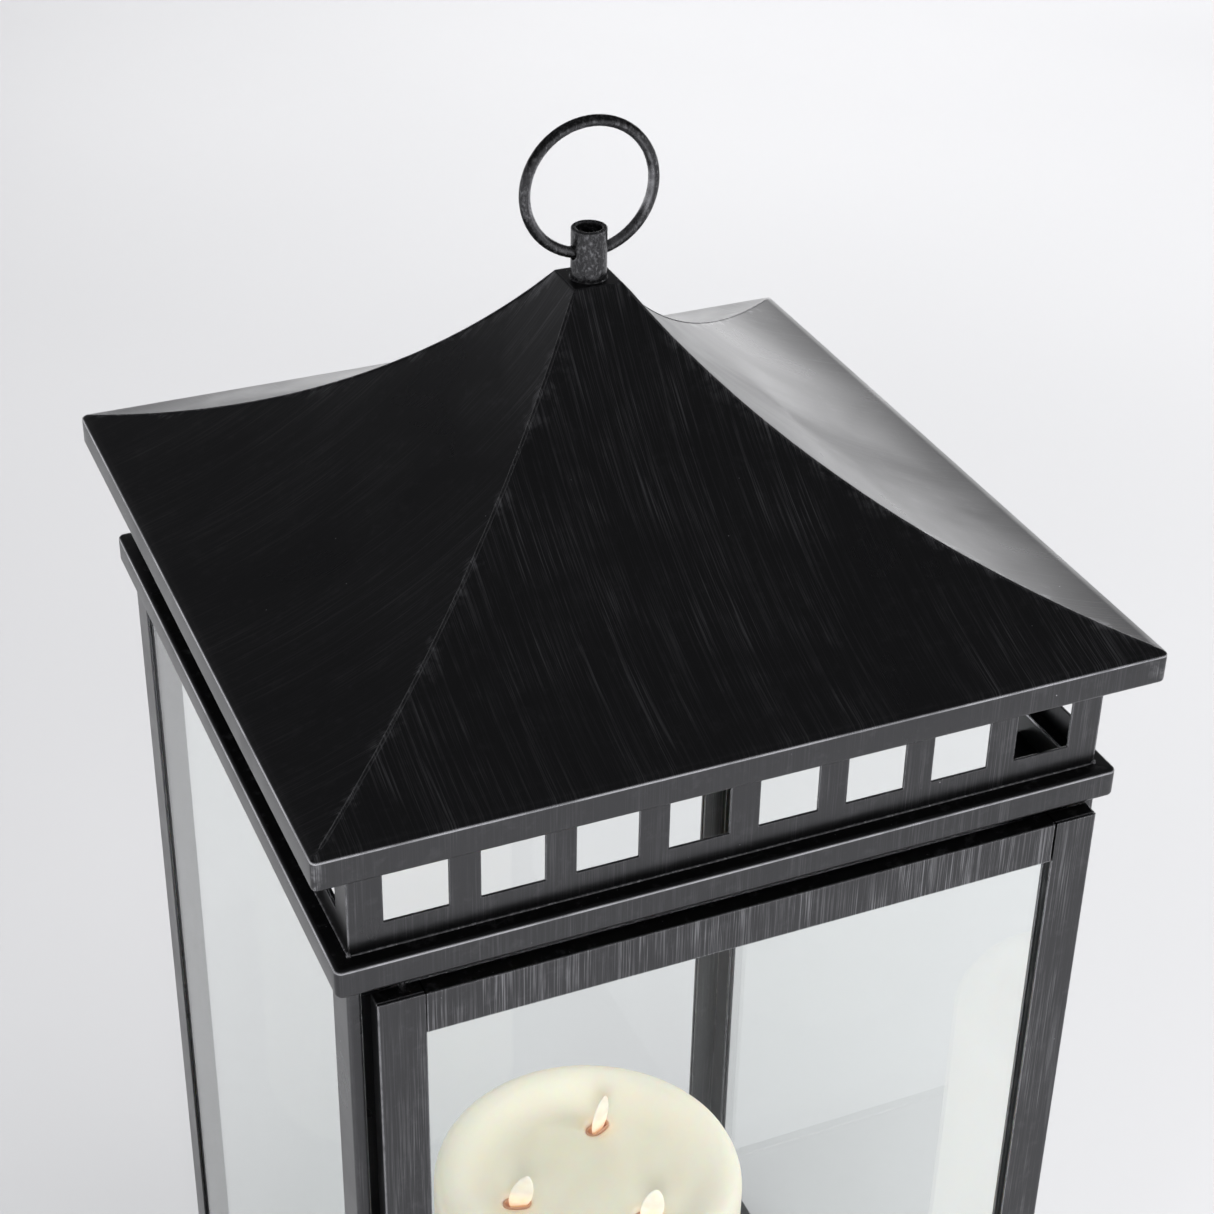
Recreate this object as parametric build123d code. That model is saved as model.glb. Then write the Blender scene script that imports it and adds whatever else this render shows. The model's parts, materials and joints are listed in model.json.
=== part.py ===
from build123d import *
import os
from math import cos, radians, sin, sqrt

os.makedirs("parts", exist_ok=True)

# Candle lantern: a sheet-metal roof on a vented band, a glazed cabinet with a hinged
# front door, a carry ring, and a flameless three-wick pillar candle standing inside.
# Millimetres. Origin at the centre of the footprint on the ground, +Z up, and the
# door faces -Y.

# ---------------------------------------------------------------- driving dimensions
RIM_HALF = 171.0          # half width of the roof at its rim
ROOF_RISE = 112.5         # rim to the flat at the apex
APEX_HALF = 10.0          # half width of the flat at the apex
SWEEP_RADIUS = 294.0      # concave sweep of every roof face
ROOF_SHEET = 1.2
FASCIA_HEIGHT = 13.5      # turned-down edge of the roof
FASCIA_RETURN = 6.0       # inward lip under the fascia
FASCIA_ROUND = 1.6        # along the fascia's upper and lower edges
ROOF_CORNER = 2.4         # plan rounding of the roof's four corners

FOOT_HEIGHT = 3.0
BASE_HEIGHT = 20.0        # tube frame under the cabinet
FRAME_HALF = 162.0        # half width of the base frame and the cornice
TUBE_WIDTH = 13.0
TUBE_WALL = 1.2
POST_HEIGHT = 496.5
CORNICE_HEIGHT = 13.0

POST_HALF = 156.8         # half width across the posts
POST_DEPTH = 18.3         # post leg along the pane
POST_THICK = 5.6          # post leg across the pane
POST_WALL = 1.2
GLASS = 3.0
PANE_IN_SLOT = 10.0       # how far a pane enters its slot

BAND_HALF = 155.0         # vent band under the roof
BAND_SHEET = 1.0
WINDOWS = 8
WINDOW_SIZE = 24.8
WINDOW_PITCH = 36.9
WINDOW_SILL = 11.4        # cornice to the foot of the windows

DOOR_LEFT = -148.2
DOOR_RIGHT = 152.5        # laps the right-hand post, which stops it
DOOR_FRONT = -165.0
DOOR_THICK = 7.9
DOOR_SHEET = 1.0
DOOR_MEMBER = 18.3        # face width of stiles and rails
DOOR_GAP = 4.5            # above and below the door
GLASS_IN_DOOR = 4.5
SEAL_LIP = 1.0

PIN_X = -137.0            # the door turns about two upright pins
PIN_Y = -159.5
PIN_RADIUS = 1.4
PIN_IN_DOOR = 9.0
PIN_IN_FRAME = 3.2
RUNNING = 0.05            # radial clearance of a running fit
STRIP_FACE = -146.4       # draught strips close the gaps behind the door
STRIP_SHEET = 1.2
STRIP_WIDTH = 18.0
STRIP_DROP = 15.0

LATCH_X = 143.3
LATCH_Z = 265.0
SPINDLE_RADIUS = 2.0
TONGUE_REACH = 6.3

FINIAL_RADIUS = 7.15
FINIAL_BORE = 5.1
FINIAL_HEIGHT = 20.7
RING_RADIUS = 26.75       # to the middle of the wire
RING_WIRE = 2.25          # wire radius
RING_PIVOT = 10.9         # pivot height above the apex flat
RING_HOLE = 2.95

CANDLE_X = 5.0
CANDLE_Y = -3.0
CANDLE_RADIUS = 76.2
CANDLE_HEIGHT = 203.0
CANDLE_WALL = 8.2
DISH_DEPTH = 9.0          # hollow in the top of the wax
WICK_CIRCLE = 37.5        # radius on which the three flames stand
# wick position angle, direction the paddle faces, lean of the paddle (degrees)
FLAMES = [(60.0, -65.0, 14.0), (180.0, -108.0, 13.0), (300.0, -112.0, 8.0)]

HOUSING_FLOOR = 2.0
COVER_X = 71.0            # battery cover
COVER_Y = 66.0
SWITCH_Y = -50.0
LEG_ANGLES = (90, 210, 330)

# ------------------------------------------------------------------ levels worked out
BASE_TOP = FOOT_HEIGHT + BASE_HEIGHT
POST_TOP = BASE_TOP + POST_HEIGHT
CORNICE_TOP = POST_TOP + CORNICE_HEIGHT
RIM_Z = CORNICE_TOP + 58.5
APEX_Z = RIM_Z + ROOF_RISE
TUBE_INNER = FRAME_HALF - TUBE_WIDTH
DOOR_BACK = DOOR_FRONT + DOOR_THICK
DOOR_FOOT = BASE_TOP + DOOR_GAP
DOOR_HEAD = POST_TOP - DOOR_GAP
CANDLE_FOOT = BASE_TOP + 0.2
CANDLE_TOP = CANDLE_FOOT + CANDLE_HEIGHT
DISH_Z = CANDLE_TOP - DISH_DEPTH
FLAME_PIVOT_Z = DISH_Z - 4.0
HOUSING_FOOT = CANDLE_FOOT + 0.6
HOUSING_RADIUS = CANDLE_RADIUS - CANDLE_WALL - 0.1
DECK_Z = CANDLE_FOOT + 150.0

SIDES = {"front": 0, "right": 90, "back": 180, "left": 270}


def save(name, shape):
    shape.label = name
    export_step(shape, f"parts/{name}.step")


def block(x0, x1, y0, y1, z0, z1):
    """A box given by its two corners."""
    size = (x1 - x0, y1 - y0, z1 - z0)
    middle = ((x0 + x1) / 2, (y0 + y1) / 2, (z0 + z1) / 2)
    return Pos(*middle) * Box(*size)


def rod(radius, start, end):
    """A round rod from one point to another."""
    way = Vector(*end) - Vector(*start)
    plane = Plane(origin=start, z_dir=way.normalized())
    return extrude(plane * Circle(radius), way.length)


def prism_x(outline, half_length):
    """A section drawn in (y, z), run along X to both sides."""
    return extrude(Plane.YZ * outline, half_length, both=True)


def mitre(reach=200.0, height=900.0):
    """The quarter of space in front of both diagonals."""
    corner = Polyline((0, 0), (-reach, -reach), (reach, -reach), close=True)
    return extrude(make_face(corner), height)


MITRE = mitre()


def four_sides(prefix, front):
    """Saves one mitred member for each side of the square."""
    for side, angle in SIDES.items():
        save(f"{prefix}_{side}", Rot(0, 0, angle) * front)


# ------------------------------------------------------------------------------- roof
def sweep_centre():
    """Centre of the face's sweep, above and outside the rim, as (y, z)."""
    dy, dz = RIM_HALF - APEX_HALF, ROOF_RISE
    chord = sqrt(dy * dy + dz * dz)
    rise = sqrt(SWEEP_RADIUS**2 - chord * chord / 4)
    mid_y, mid_z = -(RIM_HALF + APEX_HALF) / 2, RIM_Z + ROOF_RISE / 2
    return mid_y - rise * dz / chord, mid_z + rise * dy / chord


def roof_height(half, below=0.0):
    """Height of the roof face, or of a surface below it, at this half width."""
    cy, cz = sweep_centre()
    reach = SWEEP_RADIUS + below
    return cz - sqrt(reach**2 - (-half - cy) ** 2)


def sweep_arc(start_half, end_half, below):
    """The arc of a roof face between two half widths."""
    middle = (start_half + end_half) / 2
    points = [(-h, roof_height(h, below)) for h in (start_half, middle, end_half)]
    return ThreePointArc(*points)


def roof_panel():
    inner = RIM_HALF - ROOF_SHEET
    low = RIM_Z - FASCIA_HEIGHT
    lip = RIM_HALF - FASCIA_RETURN
    top = sweep_arc(APEX_HALF, RIM_HALF, 0)
    under = sweep_arc(inner, APEX_HALF, ROOF_SHEET)
    edge = Polyline(top @ 1, (-RIM_HALF, low), (-lip, low), (-lip, low + ROOF_SHEET),
                    (-inner, low + ROOF_SHEET), under @ 0)
    section = make_face([top, edge, under, Line(under @ 1, top @ 0)])
    section = fillet(section.vertices().group_by(Axis.X)[0], FASCIA_ROUND)
    plan = extrude(RectangleRounded(2 * RIM_HALF, 2 * RIM_HALF, ROOF_CORNER), 900)
    return prism_x(section, RIM_HALF + 1) & MITRE & plan


def apex_cap():
    return block(-APEX_HALF, APEX_HALF, -APEX_HALF, APEX_HALF, APEX_Z - ROOF_SHEET, APEX_Z)


def finial_tube():
    wall = Circle(FINIAL_RADIUS) - Circle(FINIAL_BORE)
    tube = Pos(0, 0, APEX_Z) * extrude(wall, FINIAL_HEIGHT)
    lip = tube.edges().group_by(Axis.Z)[-1]
    tube = fillet(lip, 0.5)
    pivot = APEX_Z + RING_PIVOT
    return tube - rod(RING_HOLE, (-FINIAL_RADIUS - 2, 0, pivot), (FINIAL_RADIUS + 2, 0, pivot))


def ring_lift():
    """How far the wire has risen, on average, where it passes the tube's wall."""
    sags = [RING_RADIUS - sqrt(RING_RADIUS**2 - r * r) for r in (FINIAL_BORE, FINIAL_RADIUS)]
    return sum(sags) / 2


def carry_ring():
    centre = APEX_Z + RING_PIVOT - ring_lift() + RING_RADIUS
    return Pos(0, 0, centre) * Rot(90, 0, 0) * Torus(RING_RADIUS, RING_WIRE)


# -------------------------------------------------------------------------- vent band
def vent_band():
    top = roof_height(BAND_HALF, ROOF_SHEET) - 0.2
    band = block(-BAND_HALF, BAND_HALF, -BAND_HALF, -BAND_HALF + BAND_SHEET, CORNICE_TOP, top)
    sill = CORNICE_TOP + WINDOW_SILL
    for i in range(WINDOWS):
        x = (i - (WINDOWS - 1) / 2) * WINDOW_PITCH
        half = WINDOW_SIZE / 2
        band -= block(x - half, x + half, -BAND_HALF - 1, -BAND_HALF + 2, sill, sill + WINDOW_SIZE)
    return band & MITRE


# ----------------------------------------------------------- square frames of tubing
def frame_tube(low, high, outer_low_round, outer_high_round):
    """Mitred front member of a square tube frame; its hollow runs to the mitres."""
    width, height = TUBE_WIDTH, high - low
    outer = Pos(-FRAME_HALF + width / 2, (low + high) / 2) * Rectangle(width, height)
    corners = outer.vertices().group_by(Axis.X)[0].sort_by(Axis.Y)
    outer = fillet(corners[0], outer_low_round)
    corner = outer.vertices().group_by(Axis.Y)[-1].sort_by(Axis.X)[0]
    outer = fillet(corner, outer_high_round)
    hollow = Rectangle(width - 2 * TUBE_WALL, height - 2 * TUBE_WALL)
    outer -= Pos(-FRAME_HALF + width / 2, (low + high) / 2) * hollow
    return prism_x(outer, FRAME_HALF + 1) & MITRE


def cornice_member():
    return frame_tube(POST_TOP, CORNICE_TOP, 1.5, 0.6)


def base_member():
    return frame_tube(FOOT_HEIGHT, BASE_TOP, 0.6, 1.5)


def drilled(member, low, high):
    """A frame member with the hole that a hinge pin turns in."""
    start, end = (PIN_X, PIN_Y, low), (PIN_X, PIN_Y, high)
    return member - rod(PIN_RADIUS + RUNNING, start, end)


def tube_frames():
    cornice, base = cornice_member(), base_member()
    four_sides("cornice", cornice)
    four_sides("base", base)
    save("cornice_front", drilled(cornice, POST_TOP - 1, POST_TOP + PIN_IN_FRAME + 0.2))
    save("base_front", drilled(base, BASE_TOP - PIN_IN_FRAME - 0.2, BASE_TOP + 1))


def floor_plate():
    half = TUBE_INNER
    return block(-half, half, -half, half, BASE_TOP - 1.2, BASE_TOP)


def foot_pads():
    place = FRAME_HALF - TUBE_WIDTH / 2
    pad = extrude(Circle(5.5), FOOT_HEIGHT)
    pad = chamfer(pad.edges().group_by(Axis.Z)[0], 0.6)
    return Compound([Pos(x, y, 0) * pad for x in (-place, place) for y in (-place, place)])


# ------------------------------------------------------------------- posts and glass
def front_post():
    """Left front post: a slotted channel for the side pane, open to the back."""
    x0, x1 = -POST_HALF, -POST_HALF + POST_THICK
    y0, y1 = -POST_HALF, -POST_HALF + POST_DEPTH
    post = block(x0, x1, y0, y1, BASE_TOP, POST_TOP)
    corners = post.edges().filter_by(Axis.Z).group_by(Axis.Y)[0]
    post = fillet(corners, 1.4)
    wall = POST_WALL
    return post - block(x0 + wall, x1 - wall, y0 + wall, y1 + 1, BASE_TOP, POST_TOP)


def back_post():
    """Left back post: a slotted leg for each of two panes, and a solid corner."""
    outer, thick, deep, wall = POST_HALF, POST_THICK, POST_DEPTH, POST_WALL
    side = block(-outer, -outer + thick, outer - deep, outer, BASE_TOP, POST_TOP)
    back = block(-outer, -outer + deep, outer - thick, outer, BASE_TOP, POST_TOP)
    post = side + back
    corner = post.edges().filter_by(Axis.Z).sort_by(lambda e: e.center().X - e.center().Y)[0]
    post = fillet(corner, 1.4)
    skin, web = outer - wall, outer - thick
    post -= block(-skin, -web - wall, outer - deep - 1, web, BASE_TOP, POST_TOP)
    post -= block(-web, -outer + deep + 1, web + wall, skin, BASE_TOP, POST_TOP)
    return post


def posts():
    front, back = front_post(), back_post()
    save("post_front_left", front)
    save("post_back_left", back)
    save("post_front_right", mirror(front, Plane.YZ))
    save("post_back_right", mirror(back, Plane.YZ))


def draught_strip_head():
    """An angle under the front cornice that shades the gap above the door."""
    x, back = POST_HALF - POST_THICK, STRIP_FACE + STRIP_SHEET
    low = POST_TOP - STRIP_DROP
    leg = block(-x, x, STRIP_FACE, back, low, POST_TOP)
    return leg + block(-x, x, 0.5 - POST_HALF, back, POST_TOP - STRIP_SHEET, POST_TOP)


def draught_strip_side():
    """A flat strip on the hinge-side post, set back so that the door's heel swings clear."""
    x = POST_THICK - POST_HALF
    back = STRIP_FACE + STRIP_SHEET
    return block(x, x + STRIP_WIDTH, STRIP_FACE, back, BASE_TOP, POST_TOP - STRIP_DROP)


def fixed_panes():
    half = POST_HALF - POST_DEPTH + PANE_IN_SLOT
    middle = POST_HALF - POST_THICK / 2
    low, high = BASE_TOP + 0.2, POST_TOP - 0.2
    side = block(-middle - GLASS / 2, -middle + GLASS / 2, -half, half, low, high)
    save("glass_left", side)
    save("glass_right", mirror(side, Plane.YZ))
    save("glass_back", Rot(0, 0, -90) * side)


# ------------------------------------------------------------------------------- door
def door_stile(x_outer, x_inner):
    """A channel open towards the glass; only its face runs to the door's ends."""
    wall = DOOR_SHEET
    x0, x1 = min(x_outer, x_inner), max(x_outer, x_inner)
    stile = block(x0, x1, DOOR_FRONT, DOOR_BACK, DOOR_FOOT, DOOR_HEAD)
    face_edges = stile.edges().filter_by(Axis.Z).group_by(Axis.Y)[0]
    outer_edge = face_edges.sort_by(lambda e: abs(e.center().X - x_outer))[0]
    stile = fillet(outer_edge, 0.6)
    toward = 1 if x_inner > x_outer else -1
    skin, mouth = x_outer + toward * wall, x_inner + toward
    stile -= block(min(skin, mouth), max(skin, mouth), DOOR_FRONT + wall, DOOR_BACK - wall,
                   DOOR_FOOT - 1, DOOR_HEAD + 1)
    behind = DOOR_FRONT + wall + 0.1
    for low, high in ((DOOR_FOOT - 1, DOOR_FOOT + wall + 0.1), (DOOR_HEAD - wall - 0.1, DOOR_HEAD + 1)):
        stile -= block(x0 - 1, x1 + 1, behind, DOOR_BACK + 1, low, high)
    return stile


def door_rail_top():
    """A channel open downwards, whose top flange also closes the stiles' ends."""
    wall = DOOR_SHEET
    x0 = DOOR_LEFT + DOOR_MEMBER + 0.2
    x1 = DOOR_RIGHT - DOOR_MEMBER - 0.9
    low = DOOR_HEAD - DOOR_MEMBER
    rail = block(x0, x1, DOOR_FRONT, DOOR_BACK, low, DOOR_HEAD)
    rail = fillet(rail.edges().filter_by(Axis.X).sort_by(lambda e: e.center().Y - e.center().Z)[0], 0.5)
    rail -= block(x0 - 1, x1 + 1, DOOR_FRONT + wall, DOOR_BACK - wall, low - 1, DOOR_HEAD - wall)
    flange = block(DOOR_LEFT, DOOR_RIGHT, DOOR_FRONT + wall + 0.4, DOOR_BACK, DOOR_HEAD - wall, DOOR_HEAD)
    flange -= rod(PIN_RADIUS, (PIN_X, PIN_Y, DOOR_HEAD - 3), (PIN_X, PIN_Y, DOOR_HEAD + 1))
    return rail + flange


def door_frame():
    hinge = door_stile(DOOR_LEFT, DOOR_LEFT + DOOR_MEMBER)
    latch = door_stile(DOOR_RIGHT, DOOR_RIGHT - DOOR_MEMBER)
    through = [(LATCH_X, y, LATCH_Z) for y in (DOOR_FRONT - 1, DOOR_BACK + 1)]
    latch -= rod(SPINDLE_RADIUS + RUNNING, *through)
    top = door_rail_top()
    middle = Plane.XY.offset((DOOR_FOOT + DOOR_HEAD) / 2)
    save("door_stile_hinge", hinge)
    save("door_stile_latch", latch)
    save("door_rail_top", top)
    save("door_rail_bottom", mirror(top, middle))


def door_pane(grow, y0, y1):
    """A slab the size of the door's glass, grown by this much at each edge."""
    x0 = DOOR_LEFT + DOOR_MEMBER - GLASS_IN_DOOR - grow
    x1 = DOOR_RIGHT - DOOR_MEMBER + GLASS_IN_DOOR + grow
    z0 = DOOR_FOOT + DOOR_MEMBER - GLASS_IN_DOOR - grow
    z1 = DOOR_HEAD - DOOR_MEMBER + GLASS_IN_DOOR + grow
    return block(x0, x1, y0, y1, z0, z1)


def door_glazing():
    middle = (DOOR_FRONT + DOOR_BACK) / 2
    half, bed = GLASS / 2, DOOR_THICK / 2 - DOOR_SHEET - 0.05
    glass = door_pane(0, middle - half, middle + half)
    rim = door_pane(SEAL_LIP, middle - bed, middle + bed)
    rim -= door_pane(1.0 - GLASS_IN_DOOR, middle - bed - 1, middle + bed + 1)
    save("door_glass", glass)
    save("door_glass_seal", rim - glass)


def hinge_pins():
    head, foot = DOOR_HEAD - PIN_IN_DOOR, DOOR_FOOT + PIN_IN_DOOR
    upper = rod(PIN_RADIUS, (PIN_X, PIN_Y, head), (PIN_X, PIN_Y, POST_TOP + PIN_IN_FRAME))
    lower = rod(PIN_RADIUS, (PIN_X, PIN_Y, BASE_TOP - PIN_IN_FRAME), (PIN_X, PIN_Y, foot))
    return Compound([upper, lower])


def hinge_bush():
    wall = Circle(3.4) - Circle(PIN_RADIUS + RUNNING)
    return Pos(PIN_X, PIN_Y, BASE_TOP) * extrude(wall, DOOR_GAP - 0.3)


# ------------------------------------------------------------------------------ latch
def stadium(reach, back, width, y0, y1):
    """A flat bar with round ends, standing up from the latch spindle."""
    length = reach + back
    plane = Plane(origin=(LATCH_X, y1, LATCH_Z), x_dir=(0, 0, 1), z_dir=(0, -1, 0))
    bar = Pos((reach - back) / 2, 0) * SlotOverall(length, width)
    return extrude(plane * bar, y1 - y0)


def latch_handle():
    face = DOOR_FRONT - 1.2
    wing = stadium(11.0, 11.0, 7.5, face - 4.3, face)
    wing = fillet(wing.edges().group_by(Axis.Y)[0], 1.2)
    spindle = rod(SPINDLE_RADIUS, (LATCH_X, face, LATCH_Z), (LATCH_X, DOOR_BACK + 8.4, LATCH_Z))
    return wing + spindle


def latch_washer():
    ring = Plane.XZ.offset(-DOOR_FRONT) * (Circle(6.5) - Circle(SPINDLE_RADIUS + RUNNING))
    return Pos(LATCH_X, 0, LATCH_Z) * extrude(ring, 1.0)


def latch_tongue():
    y0 = DOOR_BACK + 4.7
    bar = stadium(TONGUE_REACH, 3.0, 6.0, y0, y0 + 1.6)
    return bar - rod(SPINDLE_RADIUS, (LATCH_X, y0 - 1, LATCH_Z), (LATCH_X, y0 + 3, LATCH_Z))


def latch_nut():
    y0 = DOOR_BACK + 6.3
    nut = Plane.XZ.offset(-y0 - 2.1) * (RegularPolygon(3.6, 6) - Circle(SPINDLE_RADIUS))
    return Pos(LATCH_X, 0, LATCH_Z) * extrude(nut, 2.1)


def latch_strike():
    """A bracket on the right-hand post, with a tab that the tongue turns behind."""
    face = POST_HALF - POST_THICK
    front = -154.8
    plate = block(face - 1.2, face, front, -141.0, LATCH_Z - 9, LATCH_Z + 9)
    tab = block(147.3, face, front, front + 1.2, LATCH_Z - 4, LATCH_Z + 4)
    bracket = plate + tab
    for z in (LATCH_Z - 5.5, LATCH_Z + 5.5):
        bracket -= rod(1.25, (face - 3, -145.0, z), (face + 1, -145.0, z))
    return bracket


def strike_rivets():
    face = POST_HALF - POST_THICK
    rivets = []
    for z in (LATCH_Z - 5.5, LATCH_Z + 5.5):
        shank = rod(1.25, (face - 1.2, -145.0, z), (face, -145.0, z))
        rivets.append(shank + rod(2.2, (face - 2.1, -145.0, z), (face - 1.2, -145.0, z)))
    return Compound(rivets)


# ----------------------------------------------------------------------------- candle
def at_candle(shape):
    return Pos(CANDLE_X, CANDLE_Y, 0) * shape


def wick_place(angle):
    x = CANDLE_X + WICK_CIRCLE * cos(radians(angle))
    y = CANDLE_Y + WICK_CIRCLE * sin(radians(angle))
    return x, y


def slot_prism(angle, facing, length, width, low, high):
    """An upright oval prism at a wick, its long side across the paddle's face."""
    x, y = wick_place(angle)
    oval = Pos(x, y, low) * Rot(0, 0, facing + 90) * SlotOverall(length, width)
    return extrude(oval, high - low)


def candle_wax():
    outer, rim = CANDLE_RADIUS, 7.0
    inner = outer - CANDLE_WALL
    roof = DISH_Z - CANDLE_WALL
    bulge = rim * (1 - sin(radians(45)))
    shoulder = ThreePointArc((outer, CANDLE_TOP - rim), (outer - bulge, CANDLE_TOP - bulge),
                             (outer - rim, CANDLE_TOP))
    dish = Spline((outer - rim, CANDLE_TOP), (outer - 19, DISH_Z + 4.2), (outer - 32, DISH_Z),
                  tangents=[(-1, 0), (-1, 0)])
    walls = Polyline((outer - 32, DISH_Z), (0, DISH_Z), (0, roof), (inner, roof),
                     (inner, CANDLE_FOOT), (outer, CANDLE_FOOT), (outer, CANDLE_TOP - rim))
    section = make_face([shoulder, dish, walls])
    wax = at_candle(revolve(Plane.XZ * section, Axis.Z))
    for angle, facing, _ in FLAMES:
        wax -= slot_prism(angle, facing, 14.4, 7.4, roof - 1, CANDLE_TOP)
    return wax


def candle_housing():
    """A plastic cup in the foot of the wax, with the battery bay and switch slot."""
    cup = extrude(Circle(HOUSING_RADIUS), 37.0)
    cup -= Pos(0, 0, HOUSING_FLOOR) * extrude(Circle(HOUSING_RADIUS - 2), 40)
    cup -= Box(COVER_X, COVER_Y, 10)
    cup -= Pos(0, SWITCH_Y, 0) * Box(10.0, 4.6, 10)
    for x in (-COVER_X / 2 - 3, COVER_X / 2 + 3):
        cup += Pos(x, 0, HOUSING_FLOOR) * extrude(Rectangle(2.4, COVER_Y), 20)
    return at_candle(Pos(0, 0, HOUSING_FOOT) * cup)


def battery_cover():
    cover = Box(COVER_X - 0.6, COVER_Y - 0.6, HOUSING_FLOOR, align=(Align.CENTER, Align.CENTER, Align.MIN))
    for y in (-1, 1):
        cover -= Pos(0, y * (COVER_Y / 2 - 5), 0) * Cylinder(1.5, 10)
    return at_candle(Pos(0, 0, HOUSING_FOOT) * cover)


def battery_cover_screws():
    screw = extrude(Circle(1.5), 8.0) + extrude(Circle(2.6), -0.5)
    return Compound([at_candle(Pos(0, y * (COVER_Y / 2 - 5), HOUSING_FOOT) * screw) for y in (-1, 1)])


def batteries():
    cell = Cylinder(16.4, 56.0) + Pos(0, 0, 29.0) * Cylinder(4.5, 2.0)
    lay = HOUSING_FOOT + HOUSING_FLOOR + 17.0
    pair = [Pos(x, 0, lay) * Rot(turn, 0, 0) * cell for x, turn in ((-17.2, 90), (17.2, -90))]
    return Compound([at_candle(c) for c in pair])


def module_deck():
    """A disc on three legs that carries the flame modules and the board."""
    deck = Pos(0, 0, DECK_Z) * extrude(Circle(64.0), 2.4)
    foot = HOUSING_FOOT + HOUSING_FLOOR
    for angle in LEG_ANGLES:
        leg = Pos(56 * cos(radians(angle)), 56 * sin(radians(angle)), foot)
        deck += leg * extrude(Circle(4.0), DECK_Z - foot)
    return at_candle(deck)


def circuit_board():
    return at_candle(Pos(0, 0, DECK_Z + 3.2) * Box(24.0, 24.0, 1.6))


def flame_modules():
    """A cup under each wick, with an oval collar in the wax and the pivot wire."""
    cups = []
    low = DECK_Z + 2.4
    roof = DISH_Z - CANDLE_WALL - 0.2
    for angle, facing, _ in FLAMES:
        x, y = wick_place(angle)
        cup = Pos(x, y, low) * extrude(Circle(15.0), roof - low)
        cup -= Pos(x, y, low + 1.5) * extrude(Circle(13.5), roof - low - 3.0)
        cup += slot_prism(angle, facing, 14.0, 7.0, roof - 1.5, DISH_Z - 1.0)
        cup -= slot_prism(angle, facing, 12.0, 5.0, roof - 2, DISH_Z)
        way = (3.0 * cos(radians(facing)), 3.0 * sin(radians(facing)))
        start, end = (x - way[0], y - way[1], FLAME_PIVOT_Z), (x + way[0], y + way[1], FLAME_PIVOT_Z)
        cups.append(cup + rod(0.4, start, end))
    return Compound(cups)


def under_wicks(shape, height):
    places = [wick_place(angle) for angle, _, _ in FLAMES]
    return Compound([Pos(x, y, height) * shape for x, y in places])


def drive_coils():
    return under_wicks(extrude(Circle(7.0) - Circle(2.5), 5.0), DECK_Z + 3.9)


def flame_leds():
    lamp = extrude(Circle(1.5), -4.0)
    ceiling = DISH_Z - CANDLE_WALL - 1.7
    leds = []
    for angle, facing, _ in FLAMES:
        x, y = wick_place(angle)
        side = radians(facing)
        leds.append(Pos(x + 9.5 * cos(side), y + 9.5 * sin(side), ceiling) * lamp)
    return Compound(leds)


def switch_slider():
    knob = Pos(-2, SWITCH_Y, HOUSING_FOOT + 0.2) * extrude(Rectangle(4.0, 4.0), HOUSING_FLOOR)
    flange = Pos(-2, SWITCH_Y, HOUSING_FOOT + HOUSING_FLOOR + 0.1) * extrude(Rectangle(8.0, 7.0), 1.0)
    return at_candle(knob + flange)


def paddle_plane(angle, facing, lean):
    """In-plane axes of a flame paddle: across its face, and up along its lean."""
    x, y = wick_place(angle)
    side = radians(facing + 90)
    tilt = radians(lean)
    across = Vector(cos(side) * cos(tilt), sin(side) * cos(tilt), -sin(tilt))
    normal = Vector(cos(radians(facing)), sin(radians(facing)), 0)
    return Plane(origin=(x, y, FLAME_PIVOT_Z), x_dir=across, z_dir=normal)


def flame_paddle(angle, facing, lean):
    """A flat teardrop on a stem, hung on the pivot wire below the wax."""
    left = Spline((-2.4, 2.0), (-5.3, 9.0), (-2.6, 16.0), (0, 22.5), tangents=[(-0.3, 1), (0.3, 1)])
    right = Spline((0, 22.5), (2.6, 16.0), (5.3, 9.0), (2.4, 2.0), tangents=[(0.3, -1), (-0.3, -1)])
    stem = Polyline((2.4, 2.0), (2.4, -1.8), (1.3, -3.5), (1.3, -24.0), (-1.3, -24.0), (-1.3, -3.5),
                    (-2.4, -1.8), (-2.4, 2.0))
    outline = make_face([left, right, stem]) - Circle(0.6)
    return extrude(paddle_plane(angle, facing, lean) * outline, 0.9, both=True)


def flame_magnet(angle, facing, lean):
    plane = paddle_plane(angle, facing, lean)
    top = plane.from_local_coords((0, -24.0, 0))
    bottom = plane.from_local_coords((0, -27.0, 0))
    return rod(2.5, tuple(top), tuple(bottom))


# ------------------------------------------------------------------------------ write
four_sides("roof_panel", roof_panel())
save("apex_cap", apex_cap())
save("finial_tube", finial_tube())
save("carry_ring", carry_ring())
four_sides("vent_band", vent_band())
tube_frames()
save("floor_plate", floor_plate())
save("foot_pads", foot_pads())
posts()
save("draught_strip_head", draught_strip_head())
save("draught_strip_side", draught_strip_side())
fixed_panes()
door_frame()
door_glazing()
save("hinge_pins", hinge_pins())
save("hinge_bush", hinge_bush())
save("latch_handle", latch_handle())
save("latch_washer", latch_washer())
save("latch_tongue", latch_tongue())
save("latch_nut", latch_nut())
save("latch_strike", latch_strike())
save("strike_rivets", strike_rivets())
save("candle_wax", candle_wax())
save("candle_housing", candle_housing())
save("battery_cover", battery_cover())
save("battery_cover_screws", battery_cover_screws())
save("batteries", batteries())
save("module_deck", module_deck())
save("circuit_board", circuit_board())
save("flame_modules", flame_modules())
save("drive_coils", drive_coils())
save("flame_leds", flame_leds())
save("switch_slider", switch_slider())
for number, flame in enumerate(FLAMES, start=1):
    save(f"flame_{number}", flame_paddle(*flame))
    save(f"flame_magnet_{number}", flame_magnet(*flame))
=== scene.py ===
import json
from math import atan2, cos, degrees, pi, radians, sin, sqrt

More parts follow.
